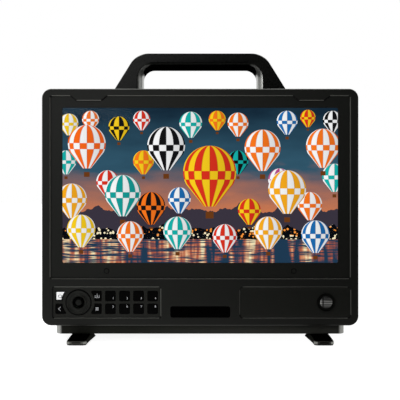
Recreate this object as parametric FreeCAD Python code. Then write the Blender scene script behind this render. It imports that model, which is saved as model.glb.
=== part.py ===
# Camera field monitor: a flat metal body with a carry handle, a keypad round a jog dial and a thumb
# stick, a volume knob, a rear connector panel and two feet that swing out in front.
# Millimetres. +X is the viewer's right, +Y runs from the screen to the back and +Z is up.
# Places along Y are depths behind the bezel's front face until the end, where the whole is moved so
# that the origin is the middle of the object's box, on the surface that it stands on.
import FreeCAD, Part
import math
import os

from FreeCAD import Vector

# Picture, recess and rims of the front face
SCREEN_WIDTH = 290.0
SCREEN_HEIGHT = 163.1
SCREEN_CORNER_R = 1.6
SCREEN_SIDE_MARGIN = 12.3
SCREEN_TOP_MARGIN = 12.2
SCREEN_BOTTOM_MARGIN = 16.2
RECESS_SIDE_RIM = 9.1
RECESS_TOP_RIM = 7.8
RECESS_DEPTH = 1.6
RECESS_GROOVE = 0.55
RECESS_GROOVE_DEPTH = 0.6
RECESS_CORNER_R = 1.4
RIM_CHAMFER = 0.9
TAB_INSET = 40.3
TAB_WIDTH = 26.0
TAB_DROP = 4.9
TAB_SLOPE = 6.4
TAB_CORNER_R = 1.2
MAGNET_R = 3.2
MAGNET_THICKNESS = 1.6
MAGNET_SIDE_INSET = 58.8
MAGNET_RISE = 7.6

# Body shells
BODY_CORNER_R = 10.0
BODY_DEPTH = 72.0
BEZEL_DEPTH = 22.0
FRONT_WALL = 5.0
SIDE_WALL = 3.5
REAR_WALL = 3.0
FRONT_EDGE_R = 1.6
REAR_EDGE_R = 5.0
PARTING_CHAMFER = 0.5

# Screen stack
GLASS_LIP = 1.4
GASKET_THICKNESS = 0.4
GASKET_WIDTH = 3.0
GLASS_THICKNESS = 1.1
LCD_THICKNESS = 2.4
BACKLIGHT_THICKNESS = 9.5
MODULE_OVERLAP = 4.0
MODULE_SLACK = 0.2
MID_PLATE_THICKNESS = 1.5
MID_PLATE_GAP = 2.5

# Keys and the panel that they sit in
KEY_WIDTH = 10.6
KEY_HEIGHT = 10.4
KEY_CORNER_R = 1.2
KEY_EDGE_R = 0.45
KEY_COLUMN_GAP = 4.2
KEY_ROW_GAP = 3.1
KEY_COLUMNS = 4
KEY_PROUD = 0.5
KEY_SLACK = 0.35
KEY_BACK_SLACK = 0.1
KEY_FLANGE = 1.0
KEY_FLANGE_THICKNESS = 0.9
KEY_STEM_R = 1.5
KEY_STEM_LENGTH = 2.4
KEY_TRAVEL = 0.8
SWITCH_GAP = 0.2
SWITCH_HEIGHT = 2.4
SWITCH_SIZE = 6.0
PANEL_SIDE_PAD = 2.9
PANEL_EDGE_PAD = 3.95
PANEL_SETBACK = 1.2
PANEL_THICKNESS = 2.2
PANEL_LEDGE = 1.2
PANEL_SLACK = 0.35
PANEL_CORNER_R = 1.6
CONTROL_EDGE_MARGIN = 11.5
DECK_TOP_RIM = 9.5
DECK_BOTTOM_RIM = 8.4
BOARD_THICKNESS = 1.6
KEY_BOARD_SIDE = 4.8
KEY_BOARD_EDGE = 1.6
KEY_BOARD_CORNER_R = 1.5

# Jog dial and its guide
DIAL_R = 13.1
DIAL_SLACK = 0.7
DIAL_PROUD = 0.6
DIAL_DISH = 0.55
DIAL_LAND = 0.9
DIAL_EDGE = 0.45
DIAL_PLATE = 3.8
DIAL_FLANGE = 1.7
DIAL_FLANGE_THICKNESS = 1.0
DIAL_HUB_WALL = 2.4
DIAL_KEY_GAP = 4.1
DIAL_KEY_STEP = 0.35
DIAL_RIM_WEB = 1.8
WELL_R = 6.3
GUIDE_STEP = 1.35
GUIDE_WALL = 1.0
GUIDE_FLANGE = 2.6
GUIDE_FLANGE_THICKNESS = 0.6
RUNNING_SLACK = 0.05
AXIAL_SLACK = 0.3

# Thumb stick
STICK_R = 1.6
STICK_CAP_R = 4.5
STICK_NUB_R = 3.0
STICK_CAP_PROUD = 1.4
STICK_NUB_HEIGHT = 3.4
STICK_CAP_LENGTH = 2.6
STICK_CAP_TAPER = 1.2
STICK_CAP_SKIN = 2.4
STICK_NUB_DOME = 0.6
STICK_SHOULDER = 0.7
STICK_PRESS = 0.5
STICK_COLLAR_R = 2.9
STICK_COLLAR_THICKNESS = 0.8
STICK_HUB_R = 2.4
STICK_HUB_LENGTH = 4.4
STICK_PIVOT_DROP = 4.2
YOKE_WALL = 1.8
YOKE_GAP = 1.9
YOKE_THICKNESS = 3.0
TRUNNION_R = 0.9
TRUNNION_GRIP = 1.3
CRADLE_GAP = 0.8
CRADLE_WALL = 3.0
CRADLE_FLOOR = 1.6
CRADLE_CORNER_R = 2.0

# Side panel and its knob
SIDE_PANEL_WIDTH = 115.9
SIDE_PANEL_CORNER_R = 3.4
SIDE_EDGE_MARGIN = 8.6
RIB_PITCH = 1.5
RIB_GROOVE = 0.6
RIB_DEPTH = 0.25
RIB_END_PAD = 1.6
KNOB_R = 6.3
KNOB_INSET = 25.2
KNOB_PROUD = 1.3
KNOB_DOME = 0.35
KNOB_EDGE = 0.6
KNOB_SKIRT_WALL = 0.9
KNOB_FACE = 1.4
KNOB_FLUTES = 32
KNOB_FLUTE_R = 0.3
DISH_R = 9.6
DISH_FLOOR_R = 7.8
DISH_DEPTH = 2.6
DISH_FLOOR = 1.6
DISH_BOSS_WALL = 1.6
POT_SIZE = 16.5
POT_DEPTH = 8.5
POT_WALL = 1.6
POT_CORNER_R = 1.5
BUSH_R = 3.5
BUSH_PROUD = 0.5
SHAFT_R = 2.4
NUT_FLATS = 8.8
NUT_THICKNESS = 1.3

# Bare badge plate
BADGE_WIDTH = 63.0
BADGE_HEIGHT = 12.0
BADGE_CORNER_R = 2.4
BADGE_DEPTH = 0.7
BADGE_PROUD = 0.15
BADGE_SLACK = 0.1

# Carry handle
HANDLE_HEIGHT = 41.3
HANDLE_GRIP = 15.7
HANDLE_SPAN = 124.0
HANDLE_FOOT = 32.2
HANDLE_LEAN = 25.7
HANDLE_DEPTH = 28.0
HANDLE_SETBACK = 3.0
HANDLE_OUTER_R = 23.0
HANDLE_INNER_R = 12.0
HANDLE_EDGE_R = 6.5
HANDLE_RIM_R = 1.2
HANDLE_SCREW_SPACING = 13.0
HANDLE_SCREW_R = 2.5
HANDLE_SCREW_GRIP = 12.0
HANDLE_SCREW_HEAD_R = 4.2
HANDLE_SCREW_HEAD = 4.0
HANDLE_BORE_SPARE = 1.0

# Base plate, its threads and the feet
FOOT_HEIGHT = 6.0
BASE_THICKNESS = 10.0
BASE_SIDE_INSET = 13.0
BASE_SETBACK = 9.5
BASE_DEPTH = 54.5
BASE_CORNER_R = 7.5
BASE_EDGE_R = 0.8
BASE_SCREW_SPACING = 140.0
BASE_SCREW_R = 2.0
BASE_SCREW_HEAD_R = 4.0
BASE_SCREW_GRIP = 6.0
BASE_SOCKET_R = 1.3
BASE_SOCKET_DEPTH = 1.4
BASE_FRONT_SCREW_INSET = 5.5
BASE_REAR_SCREW_DEPTH = 50.0
BASE_BOSS_R = 4.4
TRIPOD_R = 4.76
TRIPOD_INSERT_WALL = 1.5
SIDE_THREAD_R = 3.175
SIDE_THREAD_SPACING = 56.0
FOOT_WIDTH = 20.0
FOOT_TIP_WIDTH = 20.3
FOOT_HEEL_WIDTH = 28.0
FOOT_HEEL_R = 12.6
FOOT_HEEL_TOP_R = 9.2
FOOT_LENGTH = 53.3
FOOT_PIVOT_INSET = 27.2
FOOT_HEEL_INSET = 0.8
FOOT_TIP_R = 4.4
FOOT_TIP_THICKNESS = 3.1
FOOT_EDGE_R = 0.7
FOOT_SLACK = 0.15
PAD_THICKNESS = 1.3
PAD_LENGTH = 24.0
PAD_INSET = 0.4
PIVOT_R = 3.0
PIVOT_HEAD_R = 5.0
PIVOT_HEAD_HEIGHT = 2.0
PIVOT_THREAD_R = 2.5
PIVOT_GRIP = 7.0
BUMPER_R = 7.0
BUMPER_SIDE_INSET = 18.0
BUMPER_REAR_INSET = 10.0
BUMPER_EDGE = 0.8

# Screws that close the housing, with the rear housing's columns
COLUMN_R = 4.0
COLUMN_SIDE_INSET = 10.0
COLUMN_TOP_INSET = 9.5
COLUMN_LOW_RISE = 5.0
TOP_COLUMN_SPACING = 224.0
LOW_COLUMN_SPACING = 50.0
LOW_COLUMN_RISE = 9.0
HOUSING_SCREW_R = 1.5
HOUSING_SCREW_HEAD_R = 2.75
HOUSING_SCREW_HEAD = 2.2
HOUSING_SCREW_GRIP = 8.0
HEAD_SLACK = 0.25
THREAD_SLACK = 0.05

# Small screws of the boards, the fan and the connector panel
SMALL_SCREW_R = 1.25
SMALL_SCREW_HEAD_R = 2.2
SMALL_SCREW_HEAD = 1.3
SMALL_SCREW_LENGTH = 6.0
SMALL_BOSS_R = 2.5

# Main board, heat sink and fan
STANDOFF_R = 3.0
STANDOFF_HEIGHT = 7.0
STANDOFF_INSET = 6.0
MAIN_BOARD_WIDTH = 190.0
MAIN_BOARD_HEIGHT = 110.0
MAIN_BOARD_SHIFT = -20.0
SINK_WIDTH = 96.0
SINK_HEIGHT = 72.0
SINK_BASE = 4.0
SINK_FIN_HEIGHT = 14.0
SINK_FIN_WALL = 1.6
SINK_FIN_PITCH = 6.0
FAN_SIZE = 60.0
FAN_DEPTH = 15.0
FAN_CORNER_R = 4.0
FAN_PAD_GAP = 2.5
FAN_WALL = 1.6
FAN_TIP_GAP = 2.4
FAN_HUB_R = 13.5
FAN_HUB_WALL = 1.4
FAN_BACK = 1.8
FAN_ROTOR_INSET = 0.7
FAN_BEARING_GAP = 2.0
FAN_BLADES = 7
FAN_BLADE_WALL = 1.2
FAN_BLADE_ROOT_SWEEP = 3.5
FAN_BLADE_TIP_SWEEP = 7.0
FAN_HOLE_INSET = 5.0
FAN_STRUTS = 3
FAN_STRUT_WIDTH = 5.0
FAN_SHAFT_R = 1.5
FAN_BEARING_R = 4.0
VENT_SLOT = 3.0
VENT_PITCH = 6.0

# Rear mount: two square patterns of threaded inserts on a raised pad
REAR_PATTERNS = (75.0, 100.0)
REAR_INSERT_R = 2.0
REAR_INSERT_WALL = 0.9
REAR_INSERT_LENGTH = 9.0
REAR_BOSS_R = 4.6
REAR_PAD_MARGIN = 9.0
REAR_PAD_GAP = 6.5
REAR_PAD_HEIGHT = 1.2
REAR_PAD_CORNER_R = 8.0

# Rear connector panel
CONNECTOR_END_PAD = 14.0
CONNECTOR_GAP = 8.0
CONNECTOR_HEIGHT = 44.0
CONNECTOR_CORNER_R = 3.0
CONNECTOR_RISE = 15.0
CONNECTOR_LEDGE = 6.0
CONNECTOR_PLATE = 1.6
CONNECTOR_SLACK = 0.15
CONNECTOR_REACH = 12.4
CONNECTOR_BOARD_MARGIN = 3.0
BNC_COUNT = 4
HDMI_COUNT = 2
BNC_R = 4.8
BNC_LENGTH = 11.0
BNC_BORE_R = 4.0
BNC_CORE_R = 2.2
BNC_THREAD_R = 5.4
BNC_SHOULDER_R = 7.0
BNC_SHOULDER = 3.2
BNC_CORE_DROP = 1.6
BNC_LUG_DROP = 3.2
BNC_LUG_R = 0.9
BNC_LUG_PROUD = 0.8
BNC_NUT_FLATS = 14.0
BNC_NUT = 2.2
HDMI_WIDTH = 15.0
HDMI_HEIGHT = 6.0
HDMI_SKIN = 0.6
HDMI_CUT = 2.0
HDMI_MOUTH_DEPTH = 9.0
HDMI_TONGUE_WIDTH = 10.6
HDMI_TONGUE = 1.2
HDMI_TONGUE_RISE = 1.1
HDMI_TONGUE_DROP = 1.2
SOCKET_PROUD = 0.8
POWER_FLANGE_WIDTH = 26.0
POWER_FLANGE_HEIGHT = 30.0
POWER_FLANGE = 1.8
POWER_SHELL_R = 11.0
POWER_SHELL_WALL = 1.4
POWER_FLOOR = 3.0
POWER_PINS = 4
POWER_PIN_R = 1.2
POWER_PIN_CIRCLE_R = 4.6
POWER_PIN_DROP = 5.2
PHONE_BORE_R = 1.8
PHONE_NECK_R = 3.4
PHONE_BODY_R = 4.4
PHONE_BORE_LENGTH = 13.0
PHONE_PROUD = 1.8

NEAR = 1e-6

# Heights of the front face, from the surface up
body_bottom = FOOT_HEIGHT + BASE_THICKNESS
panel_hole_r = DIAL_R + DIAL_SLACK
panel_height = max(
    2 * KEY_HEIGHT + KEY_ROW_GAP + 2 * PANEL_EDGE_PAD,
    2 * (panel_hole_r + DIAL_RIM_WEB),
)
panel_bottom = body_bottom + DECK_BOTTOM_RIM
panel_mid = panel_bottom + panel_height / 2
recess_bottom = panel_bottom + panel_height + DECK_TOP_RIM
screen_bottom = recess_bottom + SCREEN_BOTTOM_MARGIN
screen_mid = screen_bottom + SCREEN_HEIGHT / 2
recess_top = screen_bottom + SCREEN_HEIGHT + SCREEN_TOP_MARGIN
body_top = recess_top + RECESS_TOP_RIM
body_height = body_top - body_bottom
body_mid = body_bottom + body_height / 2

# Widths of the front face
recess_half = SCREEN_WIDTH / 2 + SCREEN_SIDE_MARGIN
body_half = recess_half + RECESS_SIDE_RIM
body_width = 2 * body_half
tab_x = recess_half - TAB_INSET
magnet_x = recess_half - MAGNET_SIDE_INSET
magnet_z = recess_bottom + MAGNET_RISE

# Places of the keys, the dial and the knob
key_pitch = KEY_WIDTH + KEY_COLUMN_GAP
key_row_half = (KEY_HEIGHT + KEY_ROW_GAP) / 2
dial_key_offset = DIAL_R + DIAL_KEY_STEP + KEY_WIDTH / 2
dial_key_clear_r = DIAL_R + DIAL_KEY_GAP
control_left = CONTROL_EDGE_MARGIN - body_half
dial_x = control_left + PANEL_SIDE_PAD + KEY_WIDTH / 2 + dial_key_offset
first_column_x = dial_x + dial_key_offset + key_pitch
control_right = first_column_x + (KEY_COLUMNS - 1) * key_pitch + KEY_WIDTH / 2 + PANEL_SIDE_PAD
control_width = control_right - control_left
control_mid = (control_left + control_right) / 2
side_right = body_half - SIDE_EDGE_MARGIN
side_mid = side_right - SIDE_PANEL_WIDTH / 2
knob_x = side_right - KNOB_INSET
badge_x = (control_right + side_right - SIDE_PANEL_WIDTH) / 2
badge_z = panel_bottom + BADGE_HEIGHT / 2

# Depths of the screen stack
lip_back = RECESS_DEPTH + GLASS_LIP
glass_front = lip_back + GASKET_THICKNESS
lcd_front = glass_front + GLASS_THICKNESS
backlight_front = lcd_front + LCD_THICKNESS
mid_plate_front = backlight_front + BACKLIGHT_THICKNESS
mid_plate_back = mid_plate_front + MID_PLATE_THICKNESS
main_board_front = mid_plate_back + STANDOFF_HEIGHT
main_board_back = main_board_front + BOARD_THICKNESS
rear_inner = BODY_DEPTH - REAR_WALL

# Depths of the keypad
panel_back = PANEL_SETBACK + PANEL_THICKNESS
key_front = PANEL_SETBACK - KEY_PROUD
key_flange_front = panel_back + KEY_BACK_SLACK
key_flange_back = key_flange_front + KEY_FLANGE_THICKNESS
key_stem_end = key_flange_back + KEY_STEM_LENGTH
switch_front = key_stem_end + KEY_TRAVEL + SWITCH_GAP
key_board_front = switch_front + SWITCH_HEIGHT
key_board_back = key_board_front + BOARD_THICKNESS
stick_pivot_depth = key_board_back + STICK_PIVOT_DROP
cap_front = PANEL_SETBACK - STICK_CAP_PROUD
dish_floor = PANEL_SETBACK + DISH_DEPTH
dish_back = dish_floor + DISH_FLOOR

# Places of the feet, under the base plate
base_half = body_half - BASE_SIDE_INSET
base_back = BASE_SETBACK + BASE_DEPTH
foot_pivot_x = base_half - FOOT_PIVOT_INSET
foot_pivot_depth = BASE_SETBACK + FOOT_HEEL_WIDTH / 2 + FOOT_HEEL_INSET
base_thread_depth = BASE_SETBACK + BASE_DEPTH / 2

# Connectors in a row along the back, from the power socket to the headphone jack
bnc_width = 2 * BNC_NUT_FLATS / math.sqrt(3)
row_widths = [POWER_FLANGE_WIDTH] + BNC_COUNT * [bnc_width] + HDMI_COUNT * [HDMI_WIDTH] + [2 * PHONE_BODY_R]
row_length = sum(row_widths) + CONNECTOR_GAP * (len(row_widths) - 1)
connector_width = row_length + 2 * CONNECTOR_END_PAD
row_xs = []
cursor = row_length / 2
for width in row_widths:
    row_xs.append(cursor - width / 2)
    cursor -= width + CONNECTOR_GAP
power_x = row_xs[0]
bnc_xs = row_xs[1:1 + BNC_COUNT]
hdmi_xs = row_xs[1 + BNC_COUNT:-1]
phone_x = row_xs[-1]

# Places on the back
connector_z = body_bottom + CONNECTOR_RISE + CONNECTOR_HEIGHT / 2
connector_front = BODY_DEPTH - CONNECTOR_PLATE
connector_board_back = connector_front - CONNECTOR_REACH
rear_pad_back = BODY_DEPTH + REAR_PAD_HEIGHT
rear_pad_size = max(REAR_PATTERNS) + 2 * REAR_PAD_MARGIN
rear_pad_z = connector_z + CONNECTOR_HEIGHT / 2 + REAR_PAD_GAP + rear_pad_size / 2
fan_x = rear_pad_size / 2 + FAN_PAD_GAP + FAN_SIZE / 2
handle_mid = BEZEL_DEPTH + HANDLE_SETBACK + HANDLE_DEPTH / 2
handle_leg_x = (HANDLE_SPAN + HANDLE_FOOT) / 2


def wire_through(corners, place):
    """Closed wire round corners (u, v, radius), each rounded by an arc of its radius."""
    spans = []
    for index, (u, v, radius) in enumerate(corners):
        before = corners[index - 1]
        after = corners[(index + 1) % len(corners)]
        here = Vector(u, v, 0)
        back = (Vector(before[0], before[1], 0) - here).normalize()
        ahead = (Vector(after[0], after[1], 0) - here).normalize()
        half = back.getAngle(ahead) / 2
        inward = (back + ahead).normalize()
        reach = radius / math.tan(half)
        middle = here + inward * (radius / math.sin(half) - radius)
        spans.append((here + back * reach, middle, here + ahead * reach, radius))
    edges = []
    for index, (start, middle, end, radius) in enumerate(spans):
        if radius > 0:
            bend = Part.Arc(place(start.x, start.y), place(middle.x, middle.y), place(end.x, end.y))
            edges.append(bend.toShape())
        following = spans[(index + 1) % len(spans)][0]
        if end.distanceToPoint(following) > NEAR:
            side = Part.LineSegment(place(end.x, end.y), place(following.x, following.y))
            edges.append(side.toShape())
    return Part.Wire(edges)


def rectangle(width, height, radius, u=0.0, v=0.0):
    """Corners of a rounded rectangle centred on (u, v), anticlockwise."""
    return [
        (u - width / 2, v - height / 2, radius),
        (u + width / 2, v - height / 2, radius),
        (u + width / 2, v + height / 2, radius),
        (u - width / 2, v + height / 2, radius),
    ]


def hexagon(flats, u, v):
    """Corners of a hexagon of the given width across its flats."""
    reach = flats / math.sqrt(3)
    turns = [math.radians(60 * step) for step in range(6)]
    return [(u + reach * math.cos(turn), v + reach * math.sin(turn), 0.0) for turn in turns]


def grown(corners, by):
    """The same anticlockwise outline, moved outward, with its roundings kept parallel."""
    moved = []
    for index, (u, v, radius) in enumerate(corners):
        before = corners[index - 1]
        after = corners[(index + 1) % len(corners)]
        come = Vector(u - before[0], v - before[1], 0).normalize()
        go = Vector(after[0] - u, after[1] - v, 0).normalize()
        out_before = Vector(come.y, -come.x, 0)
        out_after = Vector(go.y, -go.x, 0)
        step = (out_before + out_after) * (by / (1 + out_before.dot(out_after)))
        turn = by if come.cross(go).z > 0 else -by
        moved.append((u + step.x, v + step.y, max(radius + turn, 0.0)))
    return moved


def front_wire(corners, depth):
    return wire_through(corners, lambda u, v: Vector(u, depth, v))


def front_prism(corners, depth, back):
    """Solid with its outline seen from the front, between two depths."""
    return Part.Face(front_wire(corners, depth)).extrude(Vector(0, back - depth, 0))


def plan_prism(corners, bottom, top):
    """Solid with its outline seen from above, between two heights."""
    wire = wire_through(corners, lambda u, v: Vector(u, v, bottom))
    return Part.Face(wire).extrude(Vector(0, 0, top - bottom))


def front_disc(radius, x, z, depth, back):
    return Part.makeCylinder(radius, back - depth, Vector(x, depth, z), Vector(0, 1, 0))


def upright_disc(radius, x, depth, bottom, top):
    return Part.makeCylinder(radius, top - bottom, Vector(x, depth, bottom))


def turned(profile, x, z):
    """Solid turned about the Y axis through (x, z) from (radius, depth) points.

    A point with a third entry is the middle of an arc between its two neighbours.
    """
    points = [Vector(x + point[0], point[1], z) for point in profile]
    edges = []
    index = 0
    while index < len(points):
        after = (index + 1) % len(points)
        if len(profile[after]) > 2:
            end = (index + 2) % len(points)
            edges.append(Part.Arc(points[index], points[after], points[end]).toShape())
            index += 2
        else:
            edges.append(Part.LineSegment(points[index], points[after]).toShape())
            index += 1
    return Part.Face(Part.Wire(edges)).revolve(Vector(x, 0, z), Vector(0, 1, 0), 360)


def edges_at_depth(shape, depth):
    return [
        edge for edge in shape.Edges
        if abs(edge.BoundBox.YMin - depth) < 1e-4 and abs(edge.BoundBox.YMax - depth) < 1e-4
    ]


def edges_at_height(shape, height):
    return [
        edge for edge in shape.Edges
        if abs(edge.BoundBox.ZMin - height) < 1e-4 and abs(edge.BoundBox.ZMax - height) < 1e-4
    ]


def socket_screw(shank_r, length, head_r, head, seat, direction):
    """Cap screw whose head sits on seat and whose shank runs along direction."""
    aim = Vector(direction).normalize()
    shank = Part.makeCylinder(shank_r, length, seat, aim)
    cap = Part.makeCylinder(head_r, head, seat - aim * head, aim)
    socket = Part.makeCylinder(head_r / 2, head / 2, seat - aim * head, aim)
    return cap.fuse(shank).cut(socket)


def pocket(corners, depth):
    """Cutter for a flat pocket in the front face, with a chamfered rim."""
    straight = front_prism(corners, -RIM_CHAMFER, depth)
    wide = front_wire(grown(corners, 2 * RIM_CHAMFER), -RIM_CHAMFER)
    narrow = front_wire(corners, RIM_CHAMFER)
    return straight.fuse(Part.makeLoft([wide, narrow], True, True))


# Outlines that several pieces share

body_outline = rectangle(body_width, body_height, BODY_CORNER_R, 0, body_mid)
screen_outline = rectangle(SCREEN_WIDTH, SCREEN_HEIGHT, SCREEN_CORNER_R, 0, screen_mid)
module_outline = grown(screen_outline, MODULE_OVERLAP)
control_outline = rectangle(control_width, panel_height, PANEL_CORNER_R, control_mid, panel_mid)
side_outline = rectangle(SIDE_PANEL_WIDTH, panel_height, SIDE_PANEL_CORNER_R, side_mid, panel_mid)
badge_outline = rectangle(BADGE_WIDTH, BADGE_HEIGHT, BADGE_CORNER_R, badge_x, badge_z)


def tab_corners(x):
    """One tab that drops into the recess from its top edge, from right to left."""
    return [
        (x + TAB_WIDTH / 2 + TAB_SLOPE, recess_top, TAB_CORNER_R),
        (x + TAB_WIDTH / 2, recess_top - TAB_DROP, 0.0),
        (x - TAB_WIDTH / 2, recess_top - TAB_DROP, 0.0),
        (x - TAB_WIDTH / 2 - TAB_SLOPE, recess_top, TAB_CORNER_R),
    ]


recess_outline = [
    (-recess_half, recess_bottom, RECESS_CORNER_R),
    (recess_half, recess_bottom, RECESS_CORNER_R),
    (recess_half, recess_top, RECESS_CORNER_R),
    *tab_corners(tab_x),
    *tab_corners(-tab_x),
    (-recess_half, recess_top, RECESS_CORNER_R),
]


# Key places: the four keys round the dial are cut back from it, the function keys are whole

side_keys = {
    "power_key": (dial_x - dial_key_offset, panel_mid + key_row_half),
    "back_key": (dial_x - dial_key_offset, panel_mid - key_row_half),
    "input_key": (dial_x + dial_key_offset, panel_mid + key_row_half),
    "menu_key": (dial_x + dial_key_offset, panel_mid - key_row_half),
}
function_keys = {}
for row in range(2):
    for column in range(KEY_COLUMNS):
        number = row * KEY_COLUMNS + column + 1
        height = panel_mid + key_row_half - row * (KEY_HEIGHT + KEY_ROW_GAP)
        function_keys[f"function_key_{number}"] = (first_column_x + column * key_pitch, height)
all_keys = {**side_keys, **function_keys}


def key_block(name, margin, depth, back):
    """The key's outline, wider by margin all round, between two depths."""
    x, z = all_keys[name]
    outline = rectangle(KEY_WIDTH, KEY_HEIGHT, KEY_CORNER_R, x, z)
    block = front_prism(grown(outline, margin), depth, back)
    if name in side_keys:
        block = block.cut(front_disc(dial_key_clear_r - margin, dial_x, panel_mid, depth, back))
    return block


# Screw places

column_x = body_half - COLUMN_SIDE_INSET
plate_columns = [
    (side * column_x, height)
    for side in (-1, 1)
    for height in (recess_bottom + COLUMN_LOW_RISE, screen_mid, body_top - COLUMN_TOP_INSET)
]
plate_columns += [(side * TOP_COLUMN_SPACING / 2, body_top - COLUMN_TOP_INSET) for side in (-1, 1)]
low_columns = [(side * LOW_COLUMN_SPACING / 2, body_bottom + LOW_COLUMN_RISE) for side in (-1, 1)]

key_board_left = control_left - KEY_BOARD_SIDE
key_board_right = control_right + KEY_BOARD_SIDE
key_board_screws = [
    (x, panel_mid + side * (panel_height / 2 - SMALL_BOSS_R))
    for x in (control_left - SMALL_BOSS_R, control_right + SMALL_BOSS_R)
    for side in (-1, 1)
]
connector_screws = [
    (across * (connector_width - CONNECTOR_LEDGE) / 2,
     connector_z + up * (CONNECTOR_HEIGHT - CONNECTOR_LEDGE) / 2)
    for across in (-1, 1)
    for up in (-1, 1)
]
fan_screws = [
    (fan_x + across * (FAN_SIZE / 2 - FAN_HOLE_INSET), screen_mid + up * (FAN_SIZE / 2 - FAN_HOLE_INSET))
    for across in (-1, 1)
    for up in (-1, 1)
]
base_screws = [
    (side * BASE_SCREW_SPACING / 2, depth)
    for side in (-1, 1)
    for depth in (BEZEL_DEPTH - BASE_FRONT_SCREW_INSET, BASE_REAR_SCREW_DEPTH)
]
handle_screw_places = [
    (side * handle_leg_x, handle_mid + along * HANDLE_SCREW_SPACING / 2)
    for side in (-1, 1)
    for along in (-1, 1)
]
rear_insert_places = [
    (across * spacing / 2, rear_pad_z + up * spacing / 2)
    for spacing in REAR_PATTERNS
    for across in (-1, 1)
    for up in (-1, 1)
]
base_bore_top = body_bottom + BASE_SCREW_GRIP


def front_bezel():
    shell = front_prism(body_outline, 0, BEZEL_DEPTH)
    shell = shell.makeFillet(FRONT_EDGE_R, edges_at_depth(shell, 0))
    shell = shell.makeChamfer(PARTING_CHAMFER, edges_at_depth(shell, BEZEL_DEPTH))
    shell = shell.cut(front_prism(grown(body_outline, -SIDE_WALL), FRONT_WALL, BEZEL_DEPTH))
    bosses = [front_disc(COLUMN_R, x, z, FRONT_WALL, mid_plate_front) for x, z in plate_columns]
    bosses += [front_disc(COLUMN_R, x, z, FRONT_WALL, mid_plate_back) for x, z in low_columns]
    bosses += [front_disc(SMALL_BOSS_R, x, z, FRONT_WALL, key_board_front) for x, z in key_board_screws]
    bosses += [
        upright_disc(BASE_BOSS_R, x, depth, body_bottom + SIDE_WALL, base_bore_top)
        for x, depth in base_screws if depth < BEZEL_DEPTH
    ]
    shell = shell.fuse(bosses)
    groove_back = RECESS_DEPTH + RECESS_GROOVE_DEPTH
    floor = front_prism(grown(recess_outline, -RECESS_GROOVE), RECESS_DEPTH, groove_back)
    groove = front_prism(recess_outline, RECESS_DEPTH, groove_back).cut(floor)
    cuts = [
        pocket(recess_outline, RECESS_DEPTH),
        groove,
        front_prism(screen_outline, 0, FRONT_WALL),
        front_prism(grown(module_outline, MODULE_SLACK), lip_back, FRONT_WALL),
        pocket(control_outline, panel_back),
        front_prism(grown(control_outline, -PANEL_LEDGE), panel_back, FRONT_WALL),
        front_disc(DIAL_R + DIAL_FLANGE + DIAL_SLACK, dial_x, panel_mid, panel_back, FRONT_WALL),
        pocket(side_outline, panel_back),
        front_prism(grown(side_outline, -PANEL_LEDGE), panel_back, FRONT_WALL),
        front_prism(badge_outline, 0, BADGE_DEPTH),
    ]
    for side in (-1, 1):
        magnet_back = RECESS_DEPTH + MAGNET_THICKNESS
        cuts.append(front_disc(MAGNET_R, side * magnet_x, magnet_z, RECESS_DEPTH, magnet_back))
    bore_r = HOUSING_SCREW_R + THREAD_SLACK
    for x, z in plate_columns + low_columns:
        cuts.append(front_disc(bore_r, x, z, mid_plate_front - HOUSING_SCREW_GRIP, mid_plate_back))
    for x, z in key_board_screws:
        bore_front = key_board_back - SMALL_SCREW_LENGTH
        cuts.append(front_disc(SMALL_SCREW_R + THREAD_SLACK, x, z, bore_front, key_board_front))
    for x, depth in base_screws:
        if depth < BEZEL_DEPTH:
            cuts.append(upright_disc(BASE_SCREW_R + THREAD_SLACK, x, depth, body_bottom, base_bore_top))
    return shell.cut(cuts)


def vent_slots(x, z, radius):
    """Rows of round-ended slots that fill a circle on the rear wall."""
    slots = []
    rows = int(radius / VENT_PITCH)
    for row in range(-rows, rows + 1):
        rise = row * VENT_PITCH
        width = 2 * math.sqrt(radius ** 2 - rise ** 2)
        if width > 2 * VENT_SLOT:
            outline = rectangle(width, VENT_SLOT, VENT_SLOT / 2, x, z + rise)
            slots.append(front_prism(outline, rear_inner, BODY_DEPTH))
    return slots


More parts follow.
